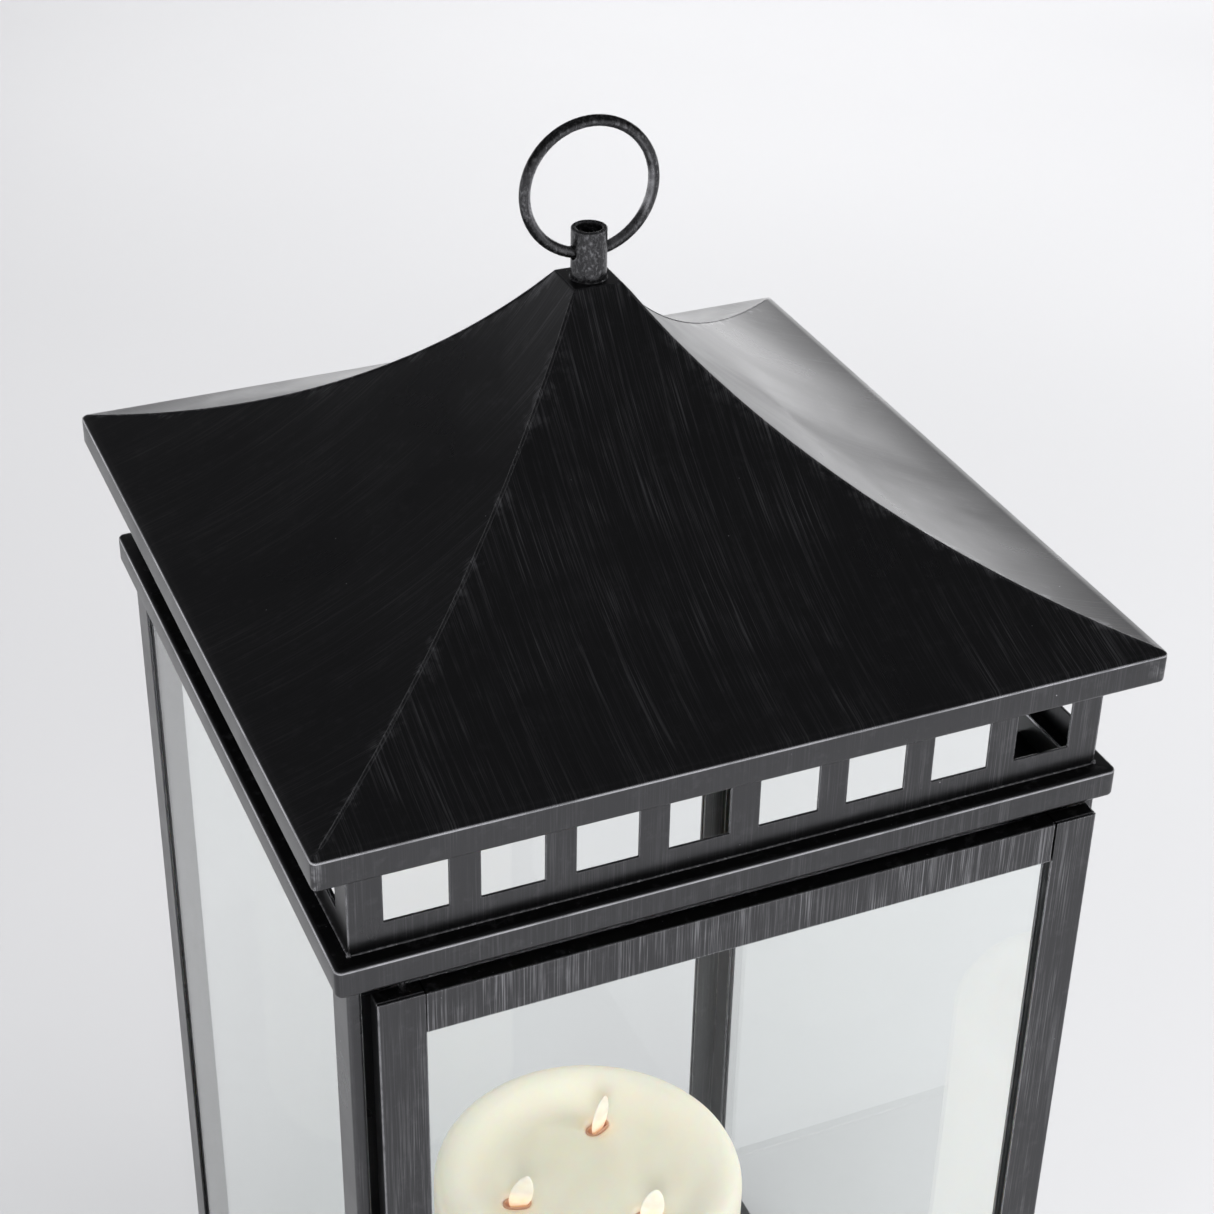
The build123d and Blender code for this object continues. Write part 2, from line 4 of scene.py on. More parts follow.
import bmesh
import bpy
from mathutils import Matrix, Vector, noise


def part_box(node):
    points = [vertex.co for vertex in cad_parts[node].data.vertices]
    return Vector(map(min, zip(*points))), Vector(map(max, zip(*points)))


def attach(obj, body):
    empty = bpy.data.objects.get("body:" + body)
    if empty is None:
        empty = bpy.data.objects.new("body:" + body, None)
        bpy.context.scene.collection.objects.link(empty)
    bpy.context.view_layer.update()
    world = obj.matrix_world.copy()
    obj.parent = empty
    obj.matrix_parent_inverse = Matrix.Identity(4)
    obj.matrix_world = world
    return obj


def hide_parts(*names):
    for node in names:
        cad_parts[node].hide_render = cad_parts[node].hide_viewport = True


# Looks of the candle lantern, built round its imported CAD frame. Units are metres.
# X is to the right when facing the door, Y runs to the back, Z is up.

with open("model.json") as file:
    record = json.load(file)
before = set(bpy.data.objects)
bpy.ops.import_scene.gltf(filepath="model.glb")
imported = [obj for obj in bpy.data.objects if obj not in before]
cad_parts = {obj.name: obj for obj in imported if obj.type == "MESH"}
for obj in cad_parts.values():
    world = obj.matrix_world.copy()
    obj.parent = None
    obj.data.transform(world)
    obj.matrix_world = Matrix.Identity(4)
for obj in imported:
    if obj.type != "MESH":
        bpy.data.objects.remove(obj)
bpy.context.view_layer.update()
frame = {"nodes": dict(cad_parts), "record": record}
NODES = frame["nodes"]
RECORD = frame["record"]

MM = 0.001

# ------------------------------------------------------------------ sizes read from the frame
RIM_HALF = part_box("roof_panel_right")[1].x
FASCIA_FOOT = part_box("roof_panel_front")[0].z
APEX_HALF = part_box("apex_cap")[1].x
APEX_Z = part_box("apex_cap")[1].z
BAND_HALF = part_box("vent_band_right")[1].x
CORNICE_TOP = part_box("cornice_front")[1].z
FRAME_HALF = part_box("cornice_right")[1].x
FRAME_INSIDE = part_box("cornice_right")[0].x
WAX_LOW, WAX_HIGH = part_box("candle_wax")
CANDLE_X = (WAX_LOW.x + WAX_HIGH.x) / 2
CANDLE_Y = (WAX_LOW.y + WAX_HIGH.y) / 2
CANDLE_RADIUS = (WAX_HIGH.x - WAX_LOW.x) / 2
TUBE_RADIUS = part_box("finial_tube")[1].x
TOP_RAIL_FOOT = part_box("door_rail_top")[0].z
LOW_RAIL_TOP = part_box("door_rail_bottom")[1].z
DOOR_SEAMS = (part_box("door_stile_hinge")[1].x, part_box("door_stile_latch")[0].x)

# ------------------------------------------------------------------ the roof's section
FASCIA_HEIGHT = 13.5 * MM
FASCIA_RETURN = 6.0 * MM
SHEET = 1.2 * MM
EDGE_ROUND = 1.6 * MM      # along the fascia's upper and lower edges
EDGE_BEVEL = 0.8 * MM      # shaded rounding of every other steel edge
TUBE_ROUND = 1.7 * MM      # long edges of the cornice and base tubes
FRAME_CORNER = 3.0 * MM    # plan rounding at their corners
CORNER_ROUND = 2.4 * MM    # plan rounding at the roof's corners
SWEEP_RADIUS = 294.0 * MM  # concave sweep of every face
RIM_Z = FASCIA_FOOT + FASCIA_HEIGHT
RIM_BEND = RIM_Z - 1.25 * MM                       # height of the rim's rubbed line, also a painted highlight
TUBE_BEND = CORNICE_TOP - TUBE_ROUND + 0.5 * MM    # and of the cornice's, likewise
WELD_SUNK = 0.16 * MM      # how far a hip weld's middle lies below the sheet

# ------------------------------------------------------------------ the pane clips
CLIP_WIDTH = 13.0 * MM
CLIP_LENGTH = 38.0 * MM
CLIP_LEG = 5.0 * MM

# ------------------------------------------------------------------ the candle's dish and flames
WICK_CIRCLE = 37.5 * MM
DISH_Z = WAX_HIGH.z - 9.0 * MM
FLAME_PIVOT_Z = DISH_Z - 4.0 * MM
SLOT_LENGTH = 14.4 * MM
DIP_DEPTH = 1.3 * MM       # how far the wax has melted down at a slot
DIP_RADIUS = 8.5 * MM      # and how far out from its middle
FLAME_TOP = 21.4 * MM      # above the pivot
FLAME_FOOT = -2.0 * MM
FLAME_HALF_WIDTH = 5.7 * MM
FLAME_HALF_THICK = 0.88 * MM
# place on the wick circle, way the paddle faces, lean to one side, all in degrees
FLAMES = [(60.0, -65.0, 14.0), (180.0, -108.0, 13.0), (300.0, -112.0, 8.0)]


# ================================================================== node helpers
class Tree:
    """A short way to write a material's nodes."""

    def __init__(self, name):
        self.material = bpy.data.materials.new(name)
        self.material.use_nodes = True
        self.nodes = self.material.node_tree.nodes
        self.links = self.material.node_tree.links
        self.nodes.clear()
        self.output = self.nodes.new("ShaderNodeOutputMaterial")
        self.place = self.nodes.new("ShaderNodeTexCoord").outputs["Object"]

    def add(self, kind, settings=None, **inputs):
        node = self.nodes.new(kind)
        for key, value in (settings or {}).items():
            setattr(node, key, value)
        for key, value in inputs.items():
            self.feed(node.inputs[key.replace("_", " ")], value)
        return node

    def feed(self, socket, value):
        if isinstance(value, bpy.types.NodeSocket):
            self.links.new(value, socket)
        else:
            socket.default_value = value

    def math(self, operation, a, b=0.0, clamp=False):
        node = self.add("ShaderNodeMath", {"operation": operation, "use_clamp": clamp})
        self.feed(node.inputs[0], a)
        self.feed(node.inputs[1], b)
        return node.outputs[0]

    def ramp(self, value, low, high, from_low=0.0, to_high=1.0):
        """value, stretched so that low becomes 0 and high becomes 1, with soft ends."""
        node = self.add("ShaderNodeMapRange", {"interpolation_type": "SMOOTHSTEP"})
        self.feed(node.inputs["Value"], value)
        self.feed(node.inputs["From Min"], low)
        self.feed(node.inputs["From Max"], high)
        self.feed(node.inputs["To Min"], from_low)
        self.feed(node.inputs["To Max"], to_high)
        return node.outputs[0]

    def stretched(self, scale, turn=(0.0, 0.0, 0.0), shift=(0.0, 0.0, 0.0)):
        mapping = self.add("ShaderNodeMapping", Vector=self.place)
        mapping.inputs["Scale"].default_value = scale
        mapping.inputs["Rotation"].default_value = turn
        mapping.inputs["Location"].default_value = shift
        return mapping.outputs[0]

    def cloud(self, scale=1.0, detail=3.0, where=None, roughness=0.5, distortion=0.0):
        node = self.add("ShaderNodeTexNoise", Scale=scale, Detail=detail, Roughness=roughness,
                        Distortion=distortion)
        self.links.new(where if where is not None else self.place, node.inputs["Vector"])
        return node.outputs["Fac"]

    def dots(self, scale, where=None):
        node = self.add("ShaderNodeTexVoronoi", Scale=scale)
        self.links.new(where if where is not None else self.place, node.inputs["Vector"])
        return node.outputs["Distance"]

    def blend(self, factor, a, b):
        node = self.add("ShaderNodeMix", {"data_type": "RGBA"})
        self.feed(node.inputs["Factor"], factor)
        self.feed(node.inputs["A"], a)
        self.feed(node.inputs["B"], b)
        return node.outputs["Result"]

    def length(self, x, y):
        """Length of the flat vector (x, y)."""
        squares = self.math("ADD", self.math("MULTIPLY", x, x), self.math("MULTIPLY", y, y))
        return self.math("SQRT", squares)

    def axis(self, name):
        return self.add("ShaderNodeSeparateXYZ", Vector=self.place).outputs[name]

    def edges(self, radius):
        """(rounded normal, how near the surface is to an edge, inner or outer, from 0 to 1)."""
        bevel = self.add("ShaderNodeBevel", {"samples": 4})
        bevel.inputs["Radius"].default_value = radius
        true = self.add("ShaderNodeNewGeometry").outputs["True Normal"]
        dot = self.add("ShaderNodeVectorMath", {"operation": "DOT_PRODUCT"})
        self.links.new(bevel.outputs[0], dot.inputs[0])
        self.links.new(true, dot.inputs[1])
        return bevel.outputs[0], self.ramp(dot.outputs["Value"], 0.9985, 0.95, 0.0, 1.0)

    def bump(self, height, strength, distance, normal=None):
        node = self.add("ShaderNodeBump", Height=height, Strength=strength, Distance=distance)
        if normal is not None:
            self.links.new(normal, node.inputs["Normal"])
        return node.outputs[0]

    def shader(self, **inputs):
        node = self.add("ShaderNodeBsdfPrincipled")
        for key, value in inputs.items():
            self.feed(node.inputs[key.replace("_", " ")], value)
        return node

    def finish(self, surface, volume=None):
        self.links.new(surface.outputs[0], self.output.inputs["Surface"])
        if volume is not None:
            self.links.new(volume.outputs[0], self.output.inputs["Volume"])
        return self.material


def grey(level, alpha=1.0):
    return (level, level, level * 1.04, alpha)


# ================================================================== materials
def blackened_steel(name, across, strokes=1.0, rubbed=0.5, bend=None, seams=(), roof=False):
    """Satin black finish over brushed steel. across is the axis the brush strokes cross,
    rubbed how bare the edges are, bend the height of a folded edge rubbed bare to a bright line
    that is also a painted highlight, seams the x of the dark joints between door members."""
    t = Tree(name)
    slant = radians(5.0 if across == "X" else -5.0)
    hair = brushed(t, across, 2100.0, 24.0, slant, 0.0)
    stroke = brushed(t, across, 900.0, 16.0, slant * 0.5, 3.1)
    patch = t.cloud(13.0, 3.0, t.stretched((1.0, 1.0, 1.0), shift=(0.3, 0.9, 0.2)), 0.58, 0.9)
    group = brushed(t, across, 110.0, 8.0, slant, 1.7)
    worn = t.math("MULTIPLY", t.ramp(patch, 0.37, 0.64, 0.16, 1.0),
                  t.ramp(group, 0.38, 0.64, 0.30, 1.0))
    both = t.math("ADD", t.math("MULTIPLY", hair, 0.6), t.math("MULTIPLY", stroke, 0.4))
    lines = t.ramp(both, 0.48, 0.62)
    marks = t.math("MULTIPLY", t.math("MULTIPLY", lines, worn), strokes, True)
    if roof:
        on_face = t.ramp(t.axis("Z"), RIM_Z - 2.0 * MM, RIM_Z - 0.5 * MM, 0.22)
        marks = t.math("MULTIPLY", marks, on_face)
    level = t.ramp(facing_up(t), 0.9985, 0.9999)
    if not roof:
        marks = t.math("MULTIPLY", marks, t.ramp(facing_up(t), 0.75, 0.45))

    rounded, edge = t.edges(EDGE_BEVEL)
    # edge wear, and on roof and tubes also the bend's painted highlight line
    rub_and_highlight = t.math("MULTIPLY", edge, t.ramp(t.cloud(230.0, 3.0), 0.30, 0.56, 0.45, 1.0))
    rub_and_highlight = t.math("MULTIPLY", rub_and_highlight, rubbed)
    if roof:
        scratched = t.math("MULTIPLY", hip_rub(t), t.ramp(both, 0.42, 0.60, 0.08, 1.0))
        rub_and_highlight = t.math("MAXIMUM", rub_and_highlight, scratched)
    if bend is not None:
        # the bend line: rubbed bare metal and a painted highlight, laid where the bend faces the bright
        # surround
        rub_and_highlight = t.math("MAXIMUM", rub_and_highlight, bend_rub_and_highlight(t, bend))
    film = t.math("ADD", 0.08, t.math("MULTIPLY", level, 0.5))
    dust = t.math("MULTIPLY", t.ramp(t.cloud(150.0, 4.0, None, 0.7), 0.52, 0.72), film)
    speck = t.math("MULTIPLY", t.ramp(t.dots(150.0), 0.045, 0.02),
                   t.ramp(t.cloud(60.0, 1.0), 0.58, 0.62))
    grit = t.math("MULTIPLY", t.ramp(t.dots(330.0), 0.10, 0.05),
                  t.ramp(t.cloud(110.0, 1.0), 0.54, 0.58))
    speck = t.math("MAXIMUM", speck, t.math("MULTIPLY", grit, t.math("MULTIPLY", level, 0.8)))

    base = t.blend(t.math("ADD", marks, dust, True), grey(0.066), grey(0.25))
    base = t.blend(t.math("MULTIPLY", rub_and_highlight, 0.9), base, grey(0.55))
    base = t.blend(speck, base, grey(0.62))
    for seam in seams:
        base = t.blend(seam_line(t, seam), base, grey(0.004))
    rough = t.math("ADD", t.ramp(patch, 0.3, 0.7, 0.27, 0.34), t.math("MULTIPLY", marks, 0.12))
    rough = t.math("SUBTRACT", rough, t.math("MULTIPLY", rub_and_highlight, 0.08))
    normal = t.bump(both, 0.10, 0.10 * MM, rounded)
    steel = t.shader(Base_Color=base, Metallic=0.985, Roughness=rough, Normal=normal)
    steel.inputs["Anisotropic"].default_value = 0.3
    return t.finish(steel)


def seam_line(t, x):
    """The dark butt joint between a door stile and the rails, at this x."""
    away = t.math("ABSOLUTE", t.math("SUBTRACT", t.axis("X"), x))
    on_top_rail = t.ramp(t.axis("Z"), TOP_RAIL_FOOT - 0.2 * MM, TOP_RAIL_FOOT + 0.2 * MM)
    on_low_rail = t.ramp(t.axis("Z"), LOW_RAIL_TOP + 0.2 * MM, LOW_RAIL_TOP - 0.2 * MM)
    on_rails = t.math("ADD", on_top_rail, on_low_rail, True)
    return t.math("MULTIPLY", t.ramp(away, 0.42 * MM, 0.20 * MM), on_rails)


def facing_up(t):
    """1 on level faces, 0 on upright ones."""
    normal = t.add("ShaderNodeNewGeometry").outputs["True Normal"]
    return t.add("ShaderNodeSeparateXYZ", Vector=normal).outputs["Z"]


def brushed(t, across, per_metre, along, slant, shift):
    """Fine parallel lines: many per metre across the brushing, few along it."""
    scale = [along, along, along]
    scale["XYZ".index(across)] = per_metre
    return t.cloud(1.0, 4.0, t.stretched(scale, (0.0, 0.0, slant), (shift, shift, shift)), 0.66)


def hip_rub(t):
    """Rubbed streaks beside the roof's welded hips, where |x| and |y| are nearly equal."""
    x = t.math("ABSOLUTE", t.axis("X"))
    y = t.math("ABSOLUTE", t.axis("Y"))
    away = t.math("ABSOLUTE", t.math("SUBTRACT", x, y))
    reach = t.ramp(t.cloud(42.0, 4.0), 0.36, 0.68, 0.5 * MM, 11.0 * MM)
    near = t.math("SUBTRACT", 1.0, t.math("DIVIDE", away, reach), True)
    broken = t.ramp(t.cloud(130.0, 4.0, None, 0.6), 0.44, 0.60)
    return t.math("MULTIPLY", t.math("MULTIPLY", near, broken), 0.60)


def bend_rub_and_highlight(t, height):
    """The thin line rubbed bright where sheet or tube bends down, at this height: bare metal, and a
    painted highlight where the bend faces the bright surround.
    """
    above = t.ramp(t.axis("Z"), height - 0.65 * MM, height - 0.25 * MM)
    below = t.ramp(t.axis("Z"), height + 0.65 * MM, height + 0.25 * MM)
    patchy = t.ramp(t.cloud(60.0, 4.0), 0.34, 0.58, 0.55, 1.0)
    return t.math("MULTIPLY", t.math("MULTIPLY", above, below), patchy)


def forged_steel(name, ring=None):
    """Darker, dappled finish of the ring and tube, rubbed by handling and, on the ring, lighter along
    its inside, as wear and a painted highlight on the inner edge. ring is the ring's centre and the
    radius its wire runs at."""
    t = Tree(name)
    mottle = t.cloud(820.0, 4.0, t.stretched((1.0, 1.0, 0.60)), 0.66)
    broad = t.cloud(70.0, 3.0)
    worn = t.math("MULTIPLY", t.ramp(mottle, 0.46, 0.72), t.ramp(broad, 0.36, 0.62, 0.10, 0.60))
    rounded, edge = t.edges(0.7 * MM)
    worn = t.math("MAXIMUM", worn, t.math("MULTIPLY", edge, 0.8))
    if ring is not None:
        centre, radius = ring
        x = t.math("SUBTRACT", t.axis("X"), centre.x)
        z = t.math("SUBTRACT", t.axis("Z"), centre.z)
        # inside of the ring: handling wear, and a painted highlight on the inner edge
        inside = t.ramp(t.length(x, z), radius - 0.1 * MM, radius - 1.3 * MM)
        patchy = t.ramp(t.cloud(120.0, 3.0), 0.36, 0.58, 0.35, 1.0)
        worn = t.math("MAXIMUM", worn, t.math("MULTIPLY", inside, patchy))
    base = t.blend(worn, grey(0.048), grey(0.34))
    rough = t.ramp(mottle, 0.3, 0.7, 0.22, 0.34)
    normal = t.bump(t.cloud(260.0, 3.0), 0.35, 0.3 * MM, rounded)
    return t.finish(t.shader(Base_Color=base, Metallic=0.97, Roughness=rough, Normal=normal))


def weld_metal(name, dark=0.06, light=0.26, speckled=0.62):
    """Ripples and bright specks of a painted weld bead."""
    t = Tree(name)
    ripple = t.cloud(520.0, 3.0, None, 0.6)
    speck = t.ramp(t.cloud(640.0, 2.0), 0.62, 0.70)
    base = t.blend(t.ramp(ripple, 0.42, 0.7), grey(dark), grey(light))
    base = t.blend(speck, base, grey(speckled))
    normal = t.bump(ripple, 0.45, 0.25 * MM)
    return t.finish(t.shader(Base_Color=base, Metallic=0.95, Normal=normal,
                             Roughness=t.ramp(ripple, 0.3, 0.7, 0.28, 0.46)))


def zinc(name):
    t = Tree(name)
    grain = t.cloud(900.0, 3.0)
    cloudy = t.cloud(120.0, 2.0)
    base = t.blend(t.ramp(cloudy, 0.35, 0.65), grey(0.42), grey(0.60))
    rounded = t.edges(0.4 * MM)[0]
    return t.finish(t.shader(Base_Color=base, Metallic=1.0,
                             Roughness=t.ramp(grain, 0.3, 0.7, 0.22, 0.38),
                             Normal=t.bump(grain, 0.15, 0.1 * MM, rounded)))


GLASS_IOR = 1.32           # under real glass's 1.5: the photo's panes stay bright seen at a slant


def glass(name):
    """Clear, low-glare glass: the absorption only shows along an edge."""
    t = Tree(name)
    smear = t.cloud(9.0, 2.0, None, 0.4)
    pane = t.shader(Base_Color=(1.0, 1.0, 1.0, 1.0), Roughness=t.ramp(smear, 0.3, 0.8, 0.0, 0.012))
    pane.inputs["Transmission Weight"].default_value = 1.0
    pane.inputs["IOR"].default_value = GLASS_IOR
    lamp_ray = t.add("ShaderNodeLightPath").outputs["Is Shadow Ray"]
    clear = t.add("ShaderNodeBsdfTransparent", Color=(0.95, 0.965, 0.96, 1.0))
    mix = t.add("ShaderNodeMixShader")
    t.links.new(lamp_ray, mix.inputs[0])
    t.links.new(pane.outputs[0], mix.inputs[1])
    t.links.new(clear.outputs[0], mix.inputs[2])
    tint = t.add("ShaderNodeVolumeAbsorption", Color=(0.42, 0.80, 0.66, 1.0), Density=9.0)
    return t.finish(mix, tint)


def rubber(name, level):
    t = Tree(name)
    grain = t.cloud(1400.0, 3.0)
    dust = t.cloud(90.0, 3.0)
    base = t.blend(t.ramp(dust, 0.4, 0.75), grey(level), grey(level * 1.9))
    return t.finish(t.shader(Base_Color=base, Roughness=t.ramp(grain, 0.3, 0.7, 0.62, 0.82),
                             Normal=t.bump(grain, 0.3, 0.15 * MM, t.edges(0.5 * MM)[0])))


def moulded(name, colour, tint):
    """Moulded plastic with a fine spark-eroded grain."""
    t = Tree(name)
    grain = t.cloud(2200.0, 2.0)
    shade = t.cloud(40.0, 2.0)
    base = t.blend(t.ramp(shade, 0.3, 0.7), colour, tint)
    return t.finish(t.shader(Base_Color=base, Roughness=t.ramp(grain, 0.3, 0.7, 0.36, 0.50),
                             Normal=t.bump(grain, 0.18, 0.06 * MM, t.edges(0.4 * MM)[0])))


def nearest_slot(t):
    """Distance in plan from the nearest flame slot."""
    nearest = None
    for angle, _, _ in FLAMES:
        x, y = wick_place(angle)
        dx = t.math("SUBTRACT", t.axis("X"), x)
        dy = t.math("SUBTRACT", t.axis("Y"), y)
        away = t.length(dx, dy)
        nearest = away if nearest is None else t.math("MINIMUM", nearest, away)
    return nearest


def wax(name):
    """Cream wax, with painted light: a painted warm glow and an emitted glow round the slots, painted
    shade in the slots' mouths and walls, and a painted lighter top at the shoulder.
    """
    t = Tree(name)
    bloom = t.cloud(24.0, 3.0)
    grain = t.cloud(420.0, 3.0)
    fine = t.cloud(1500.0, 2.0)
    away = nearest_slot(t)
    # painted warm glow: the lamps' light through the wax round each slot
    painted_warm_glow = t.ramp(away, 17.0 * MM, 3.0 * MM)
    # painted shade on the slot walls below the dish
    low = t.math("MULTIPLY", t.ramp(t.axis("Z"), DISH_Z - 0.6 * MM, DISH_Z - 4.0 * MM),
                 t.ramp(away, 0.68 * SLOT_LENGTH, 0.56 * SLOT_LENGTH))
    # painted lighter top: the shoulder drawn paler where light falls
    top = t.ramp(t.axis("Z"), DISH_Z - 2.0 * MM, WAX_HIGH.z - 1.0 * MM)
    base = t.blend(t.ramp(bloom, 0.3, 0.7), (0.85, 0.785, 0.62, 1.0), (0.88, 0.82, 0.68, 1.0))
    base = t.blend(t.math("MULTIPLY", top, 0.6), base, (0.91, 0.88, 0.78, 1.0))
    base = t.blend(t.math("MULTIPLY", painted_warm_glow, 0.45), base, (0.93, 0.72, 0.50, 1.0))
    # painted shade at each slot's mouth
    painted_mouth_shade = t.math("MULTIPLY", t.ramp(away, 5.6 * MM, 3.4 * MM), 0.62)
    base = t.blend(painted_mouth_shade, base, (0.72, 0.46, 0.30, 1.0))
    base = t.blend(t.math("MULTIPLY", low, 0.8), base, (0.45, 0.20, 0.10, 1.0))
    # painted glow: the wax emits light though it is no lamp, a little more near the slots
    near = t.math("MULTIPLY", t.ramp(away, 12.0 * MM, 4.0 * MM), t.math("SUBTRACT", 1.0, low))
    glow = t.math("ADD", 0.13, t.math("MULTIPLY", near, 0.03))
    body = t.shader(Base_Color=base, Roughness=t.ramp(grain, 0.3, 0.7, 0.40, 0.52),
                    Normal=t.bump(t.math("ADD", grain, t.math("MULTIPLY", fine, 0.3)), 0.12, 0.2 * MM))
    body.inputs["Subsurface Weight"].default_value = 0.75
    body.inputs["Subsurface Radius"].default_value = (1.0, 0.62, 0.34)
    body.inputs["Subsurface Scale"].default_value = 11.0 * MM
    body.inputs["IOR"].default_value = 1.43
    t.feed(body.inputs["Emission Color"], t.blend(near, (1.0, 0.93, 0.76, 1.0), (1.0, 0.66, 0.40, 1.0)))
    t.feed(body.inputs["Emission Strength"], glow)
    return t.finish(body)


def flame_plastic(name, centre, up):
    """Translucent paddle with a painted glow: it emits the yellow light of the lamp in the slot, fading
    to a pale tip.
    """
    t = Tree(name)
    rise = t.add("ShaderNodeVectorMath", {"operation": "DOT_PRODUCT"})
    from_foot = t.add("ShaderNodeVectorMath", {"operation": "SUBTRACT"})
    t.links.new(t.place, from_foot.inputs[0])
    from_foot.inputs[1].default_value = centre
    t.links.new(from_foot.outputs[0], rise.inputs[0])
    rise.inputs[1].default_value = up
    height = rise.outputs["Value"]
    cloudy = t.cloud(160.0, 2.0)
    base = t.blend(t.ramp(cloudy, 0.3, 0.7), (0.86, 0.77, 0.68, 1.0), (0.92, 0.86, 0.78, 1.0))
    # painted glow: the paddle emits light though it is no lamp, orange near the foot
    lit = t.ramp(height, 12.0 * MM, 4.0 * MM)
    painted_orange_glow = t.ramp(height, 12.0 * MM, 5.0 * MM)
    colour = t.blend(painted_orange_glow, (1.0, 0.90, 0.80, 1.0), (1.0, 0.52, 0.16, 1.0))
    strength = t.math("ADD", 0.05, t.math("MULTIPLY", lit, 0.30))
    body = t.shader(Base_Color=base, Roughness=t.ramp(cloudy, 0.3, 0.7, 0.34, 0.44),
                    Emission_Color=colour, Emission_Strength=strength)
    body.inputs["Subsurface Weight"].default_value = 0.6
    body.inputs["Subsurface Radius"].default_value = (1.0, 0.75, 0.5)
    body.inputs["Subsurface Scale"].default_value = 2.5 * MM
    return t.finish(body)


def housing_plastic(name):
    """Ivory moulding under the wax, with a painted orange glow of the lamps' light below the flames'
    slots: darker brown and emitting.
    """
    t = Tree(name)
    grain = t.cloud(2200.0, 2.0)
    shade = t.cloud(40.0, 2.0)
    # painted glow of the lamps' light below each slot
    painted_lamp_glow = t.math("MULTIPLY", t.ramp(nearest_slot(t), 12.0 * MM, 9.0 * MM),
                  t.ramp(t.axis("Z"), DISH_Z - 40.0 * MM, DISH_Z - 25.0 * MM))
    base = t.blend(t.ramp(shade, 0.3, 0.7), (0.80, 0.77, 0.69, 1.0), (0.85, 0.83, 0.76, 1.0))
    base = t.blend(t.math("MULTIPLY", painted_lamp_glow, 0.9), base, (0.52, 0.25, 0.13, 1.0))
    body = t.shader(Base_Color=base, Roughness=t.ramp(grain, 0.3, 0.7, 0.36, 0.50),
                    Normal=t.bump(grain, 0.18, 0.06 * MM, t.edges(0.4 * MM)[0]),
                    Emission_Color=(1.0, 0.42, 0.16, 1.0),
                    Emission_Strength=t.math("MULTIPLY", painted_lamp_glow, 0.10))
    return t.finish(body)


def led_lens(name):
    t = Tree(name)
    fade = t.cloud(300.0, 2.0)
    lens = t.shader(Base_Color=t.blend(fade, (1.0, 0.80, 0.45, 1.0), (1.0, 0.86, 0.58, 1.0)),
                    Roughness=t.ramp(fade, 0.2, 0.8, 0.08, 0.2),
                    Emission_Color=(1.0, 0.62, 0.22, 1.0), Emission_Strength=3.0)
    return t.finish(lens)


def battery_sleeve(name):
    """Printed sleeve in two plain bands, with no lettering."""
    t = Tree(name)
    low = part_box("batteries")[0].z
    band = t.ramp(t.axis("Z"), low + 24.0 * MM, low + 24.3 * MM)
    grain = t.cloud(600.0, 2.0)
    base = t.blend(band, (0.62, 0.40, 0.16, 1.0), (0.04, 0.04, 0.045, 1.0))
    return t.finish(t.shader(Base_Color=base, Metallic=0.6,
                             Roughness=t.ramp(grain, 0.3, 0.7, 0.25, 0.36)))


def circuit(name):
    """Green solder mask with faint copper tracks under it."""
    t = Tree(name)
    tracks = t.add("ShaderNodeTexBrick", Vector=t.place, Scale=260.0, Mortar_Size=0.06)
    base = t.blend(tracks.outputs["Fac"], (0.012, 0.10, 0.04, 1.0), (0.03, 0.20, 0.07, 1.0))
    return t.finish(t.shader(Base_Color=base, Roughness=t.ramp(t.cloud(500.0), 0.3, 0.7, 0.2, 0.34)))


def enamelled_wire(name):
    """Fine turns of enamelled copper, seen as rings one above another."""
    t = Tree(name)
    turns = t.add("ShaderNodeTexWave", {"bands_direction": "Z"}, Vector=t.place, Scale=1400.0)
    wire = turns.outputs["Fac"]
    base = t.blend(wire, (0.30, 0.10, 0.03, 1.0), (0.85, 0.42, 0.18, 1.0))
    return t.finish(t.shader(Base_Color=base, Metallic=1.0,
                             Roughness=t.ramp(wire, 0.0, 1.0, 0.40, 0.22),
                             Normal=t.bump(wire, 0.4, 0.1 * MM)))


def powder_black(name):
    """The plain sheet under the candle, in the same black without the brushing."""
    t = Tree(name)
    grain = t.cloud(310.0, 4.0, None, 0.6)
    dust = t.cloud(22.0, 3.0)
    base = t.blend(t.ramp(dust, 0.4, 0.75), grey(0.016), grey(0.034))
    return t.finish(t.shader(Base_Color=base, Roughness=t.ramp(grain, 0.3, 0.7, 0.42, 0.56),
                             Normal=t.bump(grain, 0.08, 0.1 * MM)))


# ================================================================== mesh helpers
def wick_place(angle):
    x = CANDLE_X + WICK_CIRCLE * cos(radians(angle))
    y = CANDLE_Y + WICK_CIRCLE * sin(radians(angle))
    return x, y


def piece(name, mesh, body, material):
    """Adds a finished mesh as a piece that rides on a body."""
    obj = bpy.data.objects.new(name, mesh)
    bpy.context.scene.collection.objects.link(obj)
    mesh.materials.clear()
    mesh.materials.append(material)
    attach(obj, body)
    return obj


def mesh_of(bm, name, sharp=35.0):
    bmesh.ops.remove_doubles(bm, verts=bm.verts, dist=0.004 * MM)
    bmesh.ops.recalc_face_normals(bm, faces=bm.faces)
    mesh = bpy.data.meshes.new(name)
    bm.to_mesh(mesh)
    bm.free()
    mesh.shade_smooth()
    mesh.set_sharp_from_angle(angle=radians(sharp))
    return mesh


def skin(bm, rows, closed=False, caps=False):
    """Quads between neighbouring rows of points; closed rows join end to end."""
    made = [[bm.verts.new(p) for p in row] for row in rows]
    for a, b in zip(made, made[1:]):
        last = len(a) if closed else len(a) - 1
        for i in range(last):
            j = (i + 1) % len(a)
            corners = [a[i], a[j], b[j], b[i]]
            if len({tuple(round(c, 7) for c in v.co) for v in corners}) > 2:
                bm.faces.new(corners)
    if caps:
        bm.faces.new(made[0])
        bm.faces.new(made[-1])
    return made


